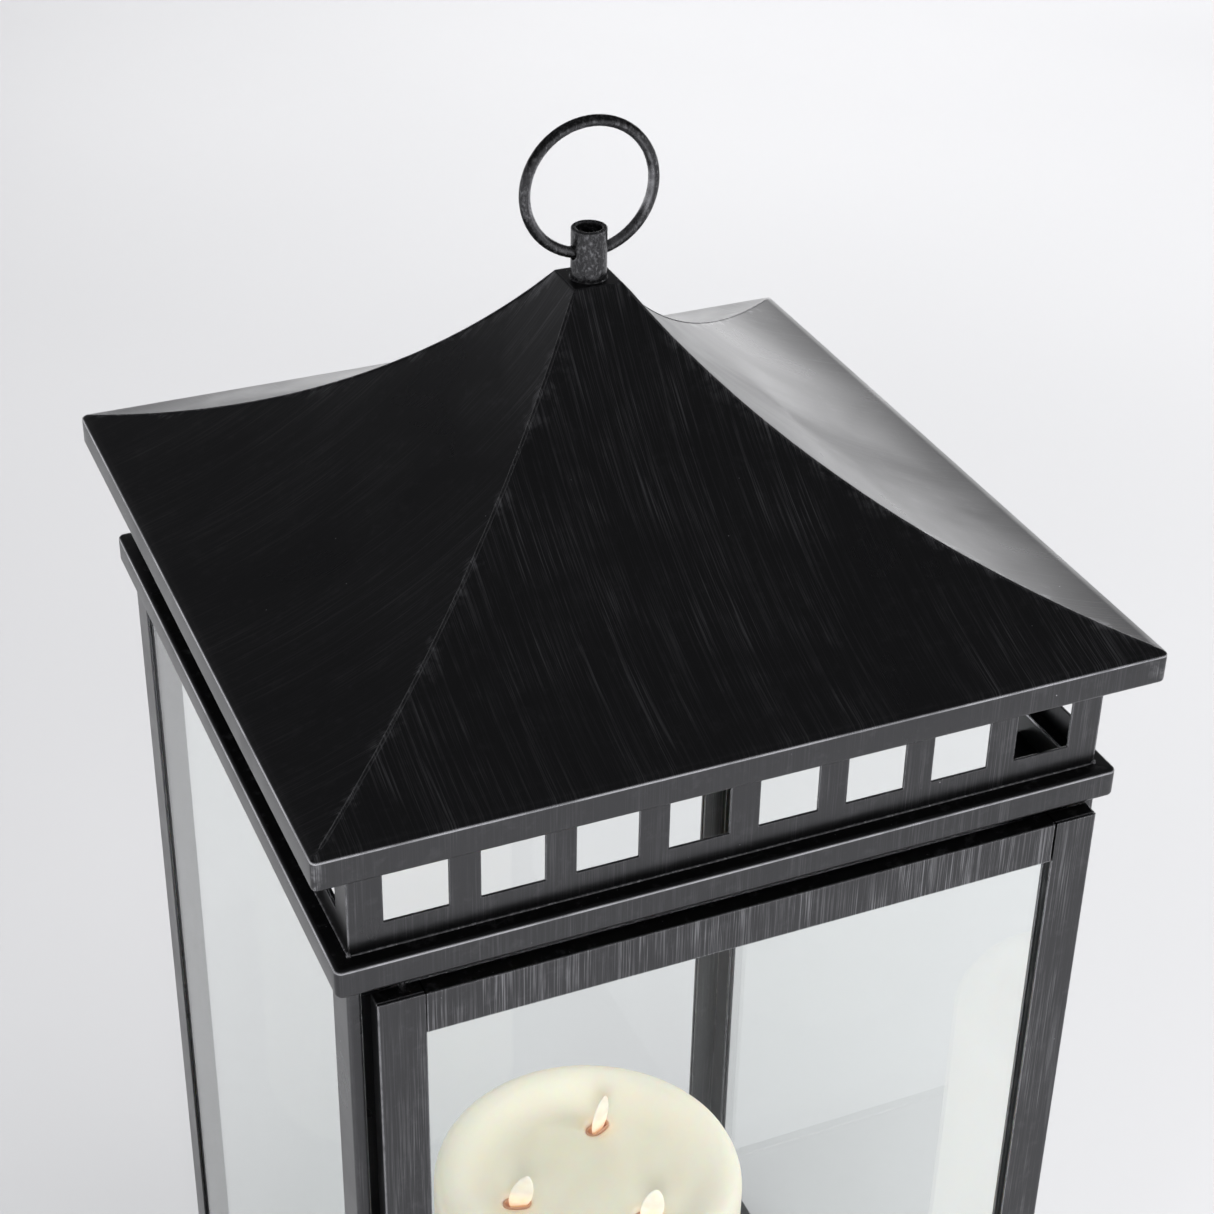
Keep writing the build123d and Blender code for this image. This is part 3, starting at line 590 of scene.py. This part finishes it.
def applied(obj, kind, **settings):
    """Adds a modifier and bakes it into the mesh."""
    modifier = obj.modifiers.new(kind.lower(), kind)
    for key, value in settings.items():
        setattr(modifier, key, value)
    bpy.context.view_layer.update()
    result = obj.evaluated_get(bpy.context.evaluated_depsgraph_get())
    mesh = bpy.data.meshes.new_from_object(result)
    obj.modifiers.remove(modifier)
    old = obj.data
    obj.data = mesh
    bpy.data.meshes.remove(old)


# ================================================================== roof
def sweep_centre():
    """Centre of the arc that bends a face from the apex flat down to the rim."""
    run = RIM_HALF - APEX_HALF
    rise = APEX_Z - RIM_Z
    chord = sqrt(run * run + rise * rise)
    back = sqrt(SWEEP_RADIUS**2 - chord * chord / 4)
    middle_half = (RIM_HALF + APEX_HALF) / 2
    middle_z = (RIM_Z + APEX_Z) / 2
    return middle_half + back * rise / chord, middle_z + back * run / chord


def roof_height(half, below=0.0):
    """Height of a face at this distance from the middle, or of its underside."""
    centre_half, centre_z = sweep_centre()
    return centre_z - sqrt((SWEEP_RADIUS + below)**2 - (centre_half - half)**2)


def turn(half, z, start, end, radius, steps=6):
    """Points of a round edge about a centre, as (half width, height)."""
    angles = [radians(start + (end - start) * i / steps) for i in range(steps + 1)]
    return [(half + radius * cos(a), z + radius * sin(a)) for a in angles]


def roof_section():
    """The panel's outline: face, rolled edge, fascia, lip and the sheet's inner side."""
    steps = 54
    slope = degrees(atan2(roof_height(RIM_HALF - 0.002) - roof_height(RIM_HALF), 0.002))
    reach = EDGE_ROUND * (1 - cos(radians(90 - slope))) + EDGE_ROUND * 0.55
    last = RIM_HALF - reach
    face = [APEX_HALF + (last - APEX_HALF) * i / steps for i in range(steps + 1)]
    outer = [(a, roof_height(a)) for a in face]
    bend = RIM_HALF - EDGE_ROUND
    drop = RIM_Z - EDGE_ROUND * 1.05
    outer += turn(bend, drop, 82 - slope, 0, EDGE_ROUND)
    outer += turn(bend, FASCIA_FOOT + EDGE_ROUND, 0, -90, EDGE_ROUND)
    lip = RIM_HALF - FASCIA_RETURN
    inside = RIM_HALF - SHEET
    outer += [(lip, FASCIA_FOOT), (lip, FASCIA_FOOT + SHEET), (inside, FASCIA_FOOT + SHEET)]
    under = [inside + (APEX_HALF - inside) * i / steps for i in range(steps + 1)]
    return outer + [(a, roof_height(a, SHEET)) for a in under]


def side_row(half, outermost, corner, columns=46, corner_steps=5):
    """A square's front side in plan, at this distance from the middle, as (x, y) from hip to hip."""
    straight = min(half, outermost - corner)
    radius = half - straight
    right = [(straight * i / columns, -half) for i in range(columns + 1)]
    for i in range(1, corner_steps + 1):
        a = radians(45.0 * i / corner_steps)
        right.append((straight + radius * sin(a), -straight - radius * cos(a)))
    return [(-x, y) for x, y in reversed(right[1:])] + right


def roof_row(half, z):
    """One level line of the front panel, from the left hip to the right hip."""
    plan = side_row(half, RIM_HALF, CORNER_ROUND)
    return [Vector((x, y, z + hammered(x, y))) for x, y in plan]


def hammered(x, y):
    """Slight unevenness of sheet metal, zero at the rim and the apex."""
    reach = max(abs(x), abs(y))
    from_rim = max(0.0, min(1.0, (RIM_HALF - 0.004 - reach) / 0.02))
    from_apex = min(1.0, max(0.0, reach - APEX_HALF) / 0.02)
    spot = Vector((abs(x) * 14.0, abs(y) * 14.0, 0.4))
    return 0.16 * MM * from_rim * from_apex * noise.noise(spot)


QUARTER_TURNS = {"front": 0, "right": 1, "back": 2, "left": 3}


def brushing(side):
    """The axis that a side's brush strokes cross."""
    return "X" if side in ("front", "back") else "Y"


def turned(points, side):
    spin = Matrix.Rotation(radians(90 * QUARTER_TURNS[side]), 4, "Z")
    return [spin @ p for p in points]


def roof_panels(steel):
    section = roof_section()
    for side in QUARTER_TURNS:
        bm = bmesh.new()
        rows = [turned(roof_row(half, z), side) for half, z in section]
        skin(bm, rows + [rows[0]])
        name = "roof_skin_" + side
        panel = piece(name, mesh_of(bm, name), "lantern", steel[brushing(side)])
        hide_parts("roof_panel_" + side)


def tube_section(foot, top):
    """Outline of a frame tube with its outer long edges rounded."""
    bend = FRAME_HALF - TUBE_ROUND
    lower = turn(bend, foot + TUBE_ROUND, -90, 0, TUBE_ROUND)
    upper = turn(bend, top - TUBE_ROUND, 0, 90, TUBE_ROUND)
    return [(FRAME_INSIDE, foot)] + lower + upper + [(FRAME_INSIDE, top)]


def frame_skins(frame_name, steel):
    """The tubes of a square frame, welded and ground round at the corners."""
    foot, top = (corner.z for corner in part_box(frame_name + "_front"))
    section = tube_section(foot, top)
    for side in QUARTER_TURNS:
        rows = []
        for half, z in section:
            plan = side_row(half, FRAME_HALF, FRAME_CORNER)
            rows.append(turned([Vector((x, y, z)) for x, y in plan], side))
        bm = bmesh.new()
        skin(bm, rows + [rows[0]])
        name = f"{frame_name}_skin_{side}"
        tube = piece(name, mesh_of(bm, name), "lantern", steel[brushing(side)])
        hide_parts(f"{frame_name}_{side}")


def pane_clips(steel):
    """Short folded angles inside the cornice's corners that keep the side panes down."""
    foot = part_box("cornice_front")[0].z
    inner = FRAME_INSIDE - CLIP_WIDTH
    outline = [(FRAME_INSIDE - 0.2 * MM, foot + SHEET), (inner + SHEET, foot + SHEET)]
    outline += turn(inner + SHEET, foot, 90, 180, SHEET, 4)
    outline += [(inner, foot - CLIP_LEG), (inner + SHEET, foot - CLIP_LEG)]
    outline += [(inner + SHEET, foot), (FRAME_INSIDE - 0.2 * MM, foot)]
    ends = (FRAME_INSIDE - 0.3 * MM, FRAME_INSIDE - CLIP_LENGTH)
    for place, across in (("right", 1), ("left", -1)):
        for depth, along in (("front", -1), ("back", 1)):
            rows = [[Vector((across * x, along * y, z)) for x, z in outline] for y in ends]
            bm = bmesh.new()
            skin(bm, rows, closed=True, caps=True)
            name = f"pane_clip_{depth}_{place}"
            piece(name, mesh_of(bm, name, 50), "lantern", steel["Y"])


def bead(bm, line, width, height, ups, seed, lumpy=0.45, sides=9):
    """A weld bead along a line: a low, uneven half round that stands on the sheet."""
    rows = []
    for i, (p, up) in enumerate(zip(line, ups)):
        ahead = line[min(i + 1, len(line) - 1)] - line[max(i - 1, 0)]
        across = ahead.cross(up).normalized()
        swell = 1.0 + lumpy * noise.noise(Vector((p.x * 210, p.y * 210, p.z * 210 + seed)))
        taper = min(1.0, 0.25 + i / 4, 0.25 + (len(line) - 1 - i) / 4)
        shift = lumpy * 0.6 * width * noise.noise(Vector((p.x * 90, p.y * 90, seed)))
        row = []
        for k in range(sides):
            a = 2 * pi * k / sides
            out = across * (cos(a) * width * swell * taper + shift)
            row.append(p + out + up * (sin(a) * height * swell * taper))
        rows.append(row)
    skin(bm, rows, closed=True, caps=True)


def hip_welds(weld):
    """The welds along the roof's four hips, ground almost flush with the faces."""
    steps = 170
    halves = [APEX_HALF + (RIM_HALF - 0.003 - APEX_HALF) * i / steps for i in range(steps + 1)]
    for side in QUARTER_TURNS:
        ridge = [Vector((a, -a, roof_height(a) + hammered(a, a) - WELD_SUNK)) for a in halves]
        line = turned(ridge, side)
        outward = Vector((0.35, -0.35, 1.0)).normalized()
        ups = turned([outward] * len(line), side)
        bm = bmesh.new()
        bead(bm, line, 0.80 * MM, 0.23 * MM, ups, QUARTER_TURNS[side] * 5.0, 0.12)
        piece("hip_weld_" + side, mesh_of(bm, "hip_weld", 60), "lantern", weld)


def band_welds(weld):
    """The fine fillet weld that holds the vent band down on the cornice."""
    steps = 260
    for side in QUARTER_TURNS:
        xs = [BAND_HALF * (2 * i / steps - 1) for i in range(steps + 1)]
        line = [Vector((x, -BAND_HALF - 0.1 * MM, CORNICE_TOP + 0.1 * MM)) for x in xs]
        line = turned(line, side)
        ups = turned([Vector((0, -0.7, 0.7))] * len(line), side)
        bm = bmesh.new()
        bead(bm, line, 0.50 * MM, 0.50 * MM, ups, 11.0 + QUARTER_TURNS[side], 0.22)
        piece("band_weld_" + side, mesh_of(bm, "band_weld", 60), "lantern", weld)


def corner_blob(bm, centre, size, seed):
    """A knob of weld metal at a corner."""
    made = bmesh.ops.create_icosphere(bm, subdivisions=4, radius=1.0)["verts"]
    for v in made:
        lump = 1.0 + 0.42 * noise.noise(v.co * 1.9 + Vector((seed, 0, 0)))
        v.co = centre + Vector((v.co.x * size.x, v.co.y * size.y, v.co.z * size.z)) * lump


def corner_welds(weld):
    """Small knobs of weld where the band's corners meet the cornice."""
    for side in QUARTER_TURNS:
        corner = Vector((BAND_HALF, -BAND_HALF, CORNICE_TOP + 0.4 * MM))
        centre = turned([corner], side)[0]
        bm = bmesh.new()
        corner_blob(bm, centre, Vector((0.9, 0.9, 1.3)) * MM, QUARTER_TURNS[side] * 3.0)
        piece("corner_weld_" + side, mesh_of(bm, "corner_weld", 60), "lantern", weld)


def ring_of_weld(bm, radius, z, width, seed, steps=120):
    line = [Vector((radius * cos(2 * pi * i / steps), radius * sin(2 * pi * i / steps), z))
            for i in range(steps + 1)]
    rows = []
    for i, p in enumerate(line[:-1]):
        swell = 1.0 + 0.8 * noise.noise(Vector((p.x * 190, p.y * 190, seed)))
        out = Vector((p.x, p.y, 0)).normalized()
        tall = Vector((0, 0, 0.6))
        rows.append([p + (out * cos(2 * pi * k / 9) + tall * sin(2 * pi * k / 9)) * width * swell
                     for k in range(9)])
    skin(bm, rows + [rows[0]], closed=True)


def finial_weld(weld):
    bm = bmesh.new()
    ring_of_weld(bm, TUBE_RADIUS, APEX_Z, 0.65 * MM, 2.0)
    piece("finial_weld", mesh_of(bm, "finial_weld", 60), "lantern", weld)


# ================================================================== candle
def soft_wax(material):
    """The wax, softened from its CAD solid: melted slot edges and a hand-poured surface."""
    source = NODES["candle_wax"]
    body = piece("candle_body", source.data.copy(), "candle", material)
    applied(body, "WELD", merge_threshold=0.01 * MM)
    applied(body, "REMESH", mode="VOXEL", voxel_size=1.25 * MM, use_smooth_shade=True)
    applied(body, "SMOOTH", iterations=6, factor=0.5)
    top = WAX_HIGH.z - 0.4 * MM
    for v in body.data.vertices:
        x, y, z = v.co
        broad = noise.noise(Vector((x * 26, y * 26, z * 11)))
        near = noise.noise(Vector((x * 75, y * 75, z * 60 + 3.0)))
        push = (0.30 * broad + 0.10 * near) * MM
        radial = Vector((x - CANDLE_X, y - CANDLE_Y, 0.0))
        if radial.length > CANDLE_RADIUS - 4.0 * MM and z > WAX_LOW.z + 2.0 * MM:
            v.co += radial.normalized() * (push - 0.35 * MM)
        elif z > DISH_Z - 1.5 * MM and z < top:
            v.co.z += push * 0.8 - melted_dip(x, y)
    body.data.shade_smooth()
    body.data.materials.clear()
    body.data.materials.append(material)
    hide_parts("candle_wax")


def melted_dip(x, y):
    """How far the wax has sunk round the nearest slot."""
    slots = [wick_place(angle) for angle, _, _ in FLAMES]
    nearest = min(sqrt((x - slot_x)**2 + (y - slot_y)**2) for slot_x, slot_y in slots)
    return DIP_DEPTH * max(0.0, 1.0 - (nearest / DIP_RADIUS)**2)**2


def paddle_axes(facing, lean):
    side = radians(facing + 90)
    tilt = radians(lean)
    across = Vector((cos(side) * cos(tilt), sin(side) * cos(tilt), -sin(tilt)))
    normal = Vector((cos(radians(facing)), sin(radians(facing)), 0.0))
    return across, normal.cross(across), normal


def flame_width(share):
    """Half width of the teardrop, as a share of its widest, from foot 0 to tip 1."""
    belly = sin(pi * share**0.84)
    return max(0.0, belly)**0.52


def flame_paddles(make_material):
    """Teardrops with pillowed faces, on the stems of the CAD paddles."""
    for number, (angle, facing, lean) in enumerate(FLAMES, start=1):
        across, up, normal = paddle_axes(facing, lean)
        foot = Vector((*wick_place(angle), FLAME_PIVOT_Z))
        rows = []
        steps = 56
        for i in range(steps + 1):
            share = 0.5 - 0.5 * cos(pi * i / steps)
            rise = FLAME_FOOT + (FLAME_TOP - FLAME_FOOT) * share
            half = max(FLAME_HALF_WIDTH * flame_width(share), 0.05 * MM)
            thick = FLAME_HALF_THICK * min(1.0, half / (2.2 * MM))
            row = []
            for k in range(32):
                a = 2 * pi * k / 32
                out = across * (half * cos(a)) + normal * (thick * sin(a))
                row.append(foot + up * rise + out)
            rows.append(row)
        bm = bmesh.new()
        skin(bm, rows, closed=True, caps=True)
        stem(bm, foot, across, up, normal)
        name = f"flame_paddle_{number}"
        material = make_material(name + "_plastic", foot, up)
        paddle = piece(name, mesh_of(bm, name, 50), f"wick_{number}", material)
        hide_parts(f"flame_{number}")


def stem(bm, foot, across, up, normal):
    """The narrow tail that carries the magnet below the wax, round-edged."""
    half_width = 1.3 * MM
    half_thick = 0.85 * MM
    rows = []
    for rise in (-1.0 * MM, -3.5 * MM, -12.0 * MM, -23.9 * MM):
        row = []
        for k in range(20):
            a = 2 * pi * k / 20
            square = 0.55
            x = half_width * abs(cos(a))**square * (1 if cos(a) > 0 else -1)
            y = half_thick * abs(sin(a))**square * (1 if sin(a) > 0 else -1)
            row.append(foot + up * rise + across * x + normal * y)
        rows.append(row)
    skin(bm, rows, closed=True, caps=True)


# ================================================================== finishes by slot and node
def paint(node, material):
    data = NODES[node].data
    data.materials.clear()
    data.materials.append(material)


def slot_materials():
    return {
        "glass": glass("clear_glass"),
        "rubber": rubber("black_rubber", 0.02),
        "seal": rubber("grey_seal", 0.035),
        "white_nylon": moulded("white_nylon", (0.80, 0.80, 0.76, 1.0), (0.86, 0.86, 0.83, 1.0)),
        "white_plastic": housing_plastic("ivory_plastic"),
        "black_plastic": moulded("black_plastic", (0.02, 0.02, 0.021, 1.0), (0.032, 0.032, 0.034, 1.0)),
        "steel": zinc("zinc_steel"),
        "cell": battery_sleeve("cell_sleeve"),
        "board": circuit("circuit_board"),
        "copper": enamelled_wire("copper_coils"),
        "led": led_lens("warm_led"),
        "flame": moulded("flame_stock", (0.93, 0.87, 0.74, 1.0), (0.97, 0.93, 0.83, 1.0)),
        "wax": moulded("wax_stock", (0.86, 0.80, 0.62, 1.0), (0.90, 0.85, 0.70, 1.0)),
    }


def side_of(node):
    """The side that a node's name ends with, or the front."""
    for side in QUARTER_TURNS:
        if node.endswith("_" + side):
            return side
    return "front"


HANDLED = ("finial_tube", "latch_handle", "latch_washer", "hinge_pins")


def black_finish(node, steel, handled, ring, powder):
    """The black finish that a node wears."""
    if node == "carry_ring":
        return ring
    if node in HANDLED:
        return handled
    if node == "floor_plate":
        return powder
    if node.startswith("door"):
        return steel["stile" if "stile" in node else "door"]
    if node.startswith("post"):
        return steel["X"]
    return steel[brushing(side_of(node))]


def paint_nodes(steel, handled, ring, powder):
    shared = slot_materials()
    for row in RECORD["subparts"]:
        node = row["node"]
        kind = row["material_slot"]
        if kind == "black_metal" or node in HANDLED:
            paint(node, black_finish(node, steel, handled, ring, powder))
        else:
            paint(node, shared[kind])


# ================================================================== room, lights and camera
FLOOR_HALF = 14.0
FAR_FLOOR_GLOW = 0.70
POOL_FADES = (2.4, 3.9)    # from the middle, where the lamps' light starts and ends to fade
LEFT_FADES = (0.75, 3.0)   # and how far to the left


def stage_floor():
    """A pale floor. It glows where the lamps' light fades: far off, and sooner at the left."""
    bm = bmesh.new()
    bmesh.ops.create_grid(bm, x_segments=8, y_segments=8, size=FLOOR_HALF)
    mesh = bpy.data.meshes.new("floor")
    bm.to_mesh(mesh)
    bm.free()
    t = Tree("pale_floor")
    tone = t.cloud(0.7, 2.0)
    base = t.blend(t.ramp(tone, 0.3, 0.7), (0.500, 0.500, 0.512, 1.0), (0.525, 0.525, 0.537, 1.0))
    x = t.axis("X")
    y = t.axis("Y")
    leftward = t.math("SUBTRACT", t.math("MULTIPLY", y, 0.35), x)
    glow = t.math("MAXIMUM", t.ramp(t.length(x, y), *POOL_FADES, 0.0, FAR_FLOOR_GLOW),
                  t.ramp(leftward, *LEFT_FADES, 0.0, FAR_FLOOR_GLOW))
    floor_paint = t.shader(Base_Color=base, Roughness=0.85, Emission_Color=(1.0, 1.0, 1.02, 1.0),
                           Emission_Strength=glow)
    mesh.materials.append(t.finish(floor_paint))
    floor = bpy.data.objects.new("floor", mesh)
    bpy.context.scene.collection.objects.link(floor)


def stage_world():
    """A pale surround, dim overhead so that level black metal stays black."""
    world = bpy.data.worlds.new("studio")
    world.use_nodes = True
    bpy.context.scene.world = world
    nodes = world.node_tree.nodes
    links = world.node_tree.links
    nodes.clear()
    out = nodes.new("ShaderNodeOutputWorld")
    place = nodes.new("ShaderNodeTexCoord")
    split = nodes.new("ShaderNodeSeparateXYZ")
    links.new(place.outputs["Generated"], split.inputs[0])
    sky = nodes.new("ShaderNodeValToRGB")
    links.new(split.outputs["Z"], sky.inputs[0])
    sky.color_ramp.interpolation = "EASE"
    sky.color_ramp.elements[0].position = 0.0
    sky.color_ramp.elements[0].color = (0.78, 0.78, 0.80, 1.0)
    sky.color_ramp.elements[1].position = 0.26
    sky.color_ramp.elements[1].color = (0.070, 0.070, 0.074, 1.0)
    seen = nodes.new("ShaderNodeBackground")
    seen.inputs[0].default_value = (0.80, 0.80, 0.82, 1.0)
    lit = nodes.new("ShaderNodeBackground")
    links.new(sky.outputs[0], lit.inputs[0])
    camera_ray = nodes.new("ShaderNodeLightPath")
    mix = nodes.new("ShaderNodeMixShader")
    links.new(camera_ray.outputs["Is Camera Ray"], mix.inputs[0])
    links.new(lit.outputs[0], mix.inputs[1])
    links.new(seen.outputs[0], mix.inputs[2])
    links.new(mix.outputs[0], out.inputs[0])


def softbox(name, place, target, size, power, mirrored=True, colour=(1.0, 1.0, 1.0)):
    """A large soft lamp. One that isn't mirrored lights things but leaves no reflection."""
    data = bpy.data.lights.new(name, "AREA")
    data.shape = "RECTANGLE"
    data.size, data.size_y = size
    data.energy = power
    data.color = colour
    lamp = bpy.data.objects.new(name, data)
    bpy.context.scene.collection.objects.link(lamp)
    lamp.location = place
    aim = Vector(target) - Vector(place)
    lamp.rotation_euler = aim.to_track_quat("-Z", "Y").to_euler()
    lamp.visible_camera = False
    lamp.visible_transmission = False
    lamp.visible_glossy = mirrored
    return lamp


def stage_lights():
    middle = (0.0, 0.0, 0.25)
    softbox("overhead", (1.3, 0.3, 3.4), middle, (4.6, 4.6), 158.0, mirrored=False)
    softbox("front_fill", (-1.3, -2.2, 1.35), middle, (1.8, 1.2), 80.0, mirrored=False)
    softbox("right_fill", (2.0, -1.5, 1.35), middle, (1.8, 1.4), 44.0, mirrored=False)
    softbox("back_fill", (1.3, 2.6, 1.5), middle, (2.4, 1.4), 46.0, mirrored=False)
    card = softbox("back_right_card", (1.9, 2.7, 0.5), (0.0, 0.0, 0.6), (3.2, 1.0), 11.0)
    card.visible_diffuse = False


def stage_camera():
    """The photograph's viewpoint: from the front left, looking down on the roof."""
    azimuth = radians(-23.84)
    pitch = radians(31.36)
    roll = radians(1.16)
    eye = Vector((-0.3391, -0.7907, 1.0987))
    forward = Vector((sin(-azimuth) * cos(pitch), cos(azimuth) * cos(pitch), -sin(pitch)))
    level = forward.cross(Vector((0.0, 0.0, 1.0))).normalized()
    upright = level.cross(forward)
    right = level * cos(roll) + upright * sin(roll)
    up = upright * cos(roll) - level * sin(roll)
    data = bpy.data.cameras.new("camera")
    data.sensor_width = 36.0
    data.lens = 71.69
    data.shift_y = -0.039
    camera = bpy.data.objects.new("camera", data)
    camera.matrix_world = Matrix.Translation(eye) @ Matrix((right, up, -forward)).transposed().to_4x4()
    bpy.context.scene.collection.objects.link(camera)
    bpy.context.scene.camera = camera


# ================================================================== the lantern, put together
STEEL = {
    "X": blackened_steel("blackened_steel_x", "X", 0.45),
    "Y": blackened_steel("blackened_steel_y", "Y", 0.35),
    "door": blackened_steel("door_steel", "X", 1.5, 0.9, seams=DOOR_SEAMS),
    "stile": blackened_steel("stile_steel", "X", 0.8, 0.9, seams=DOOR_SEAMS),
}
ROOF_STEEL = {
    "X": blackened_steel("roof_steel_x", "X", 1.0, 0.2, RIM_BEND, roof=True),
    "Y": blackened_steel("roof_steel_y", "Y", 0.35, 0.2, RIM_BEND, roof=True),
}
TUBE_STEEL = {
    "X": blackened_steel("tube_steel_x", "X", 0.35, 0.4, TUBE_BEND),
    "Y": blackened_steel("tube_steel_y", "Y", 0.25, 0.4, TUBE_BEND),
}
WELD = weld_metal("weld_metal")
BRIGHT_WELD = weld_metal("bright_weld", 0.22, 0.50, 0.70)

ring_low, ring_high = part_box("carry_ring")
WIRE_RADIUS = (ring_high.y - ring_low.y) / 2
RING_PATH = ((ring_low + ring_high) / 2, (ring_high.x - ring_low.x) / 2 - WIRE_RADIUS)

paint_nodes(STEEL, forged_steel("forged_steel"), forged_steel("ring_steel", RING_PATH),
            powder_black("powder_black"))
roof_panels(ROOF_STEEL)
hip_welds(ROOF_STEEL["X"])
frame_skins("cornice", TUBE_STEEL)
frame_skins("base", TUBE_STEEL)
pane_clips(STEEL)
band_welds(BRIGHT_WELD)
corner_welds(BRIGHT_WELD)
finial_weld(WELD)
soft_wax(wax("cream_wax"))
flame_paddles(flame_plastic)

stage_floor()
stage_world()
stage_lights()
stage_camera()
bpy.context.scene.view_settings.view_transform = "Standard"
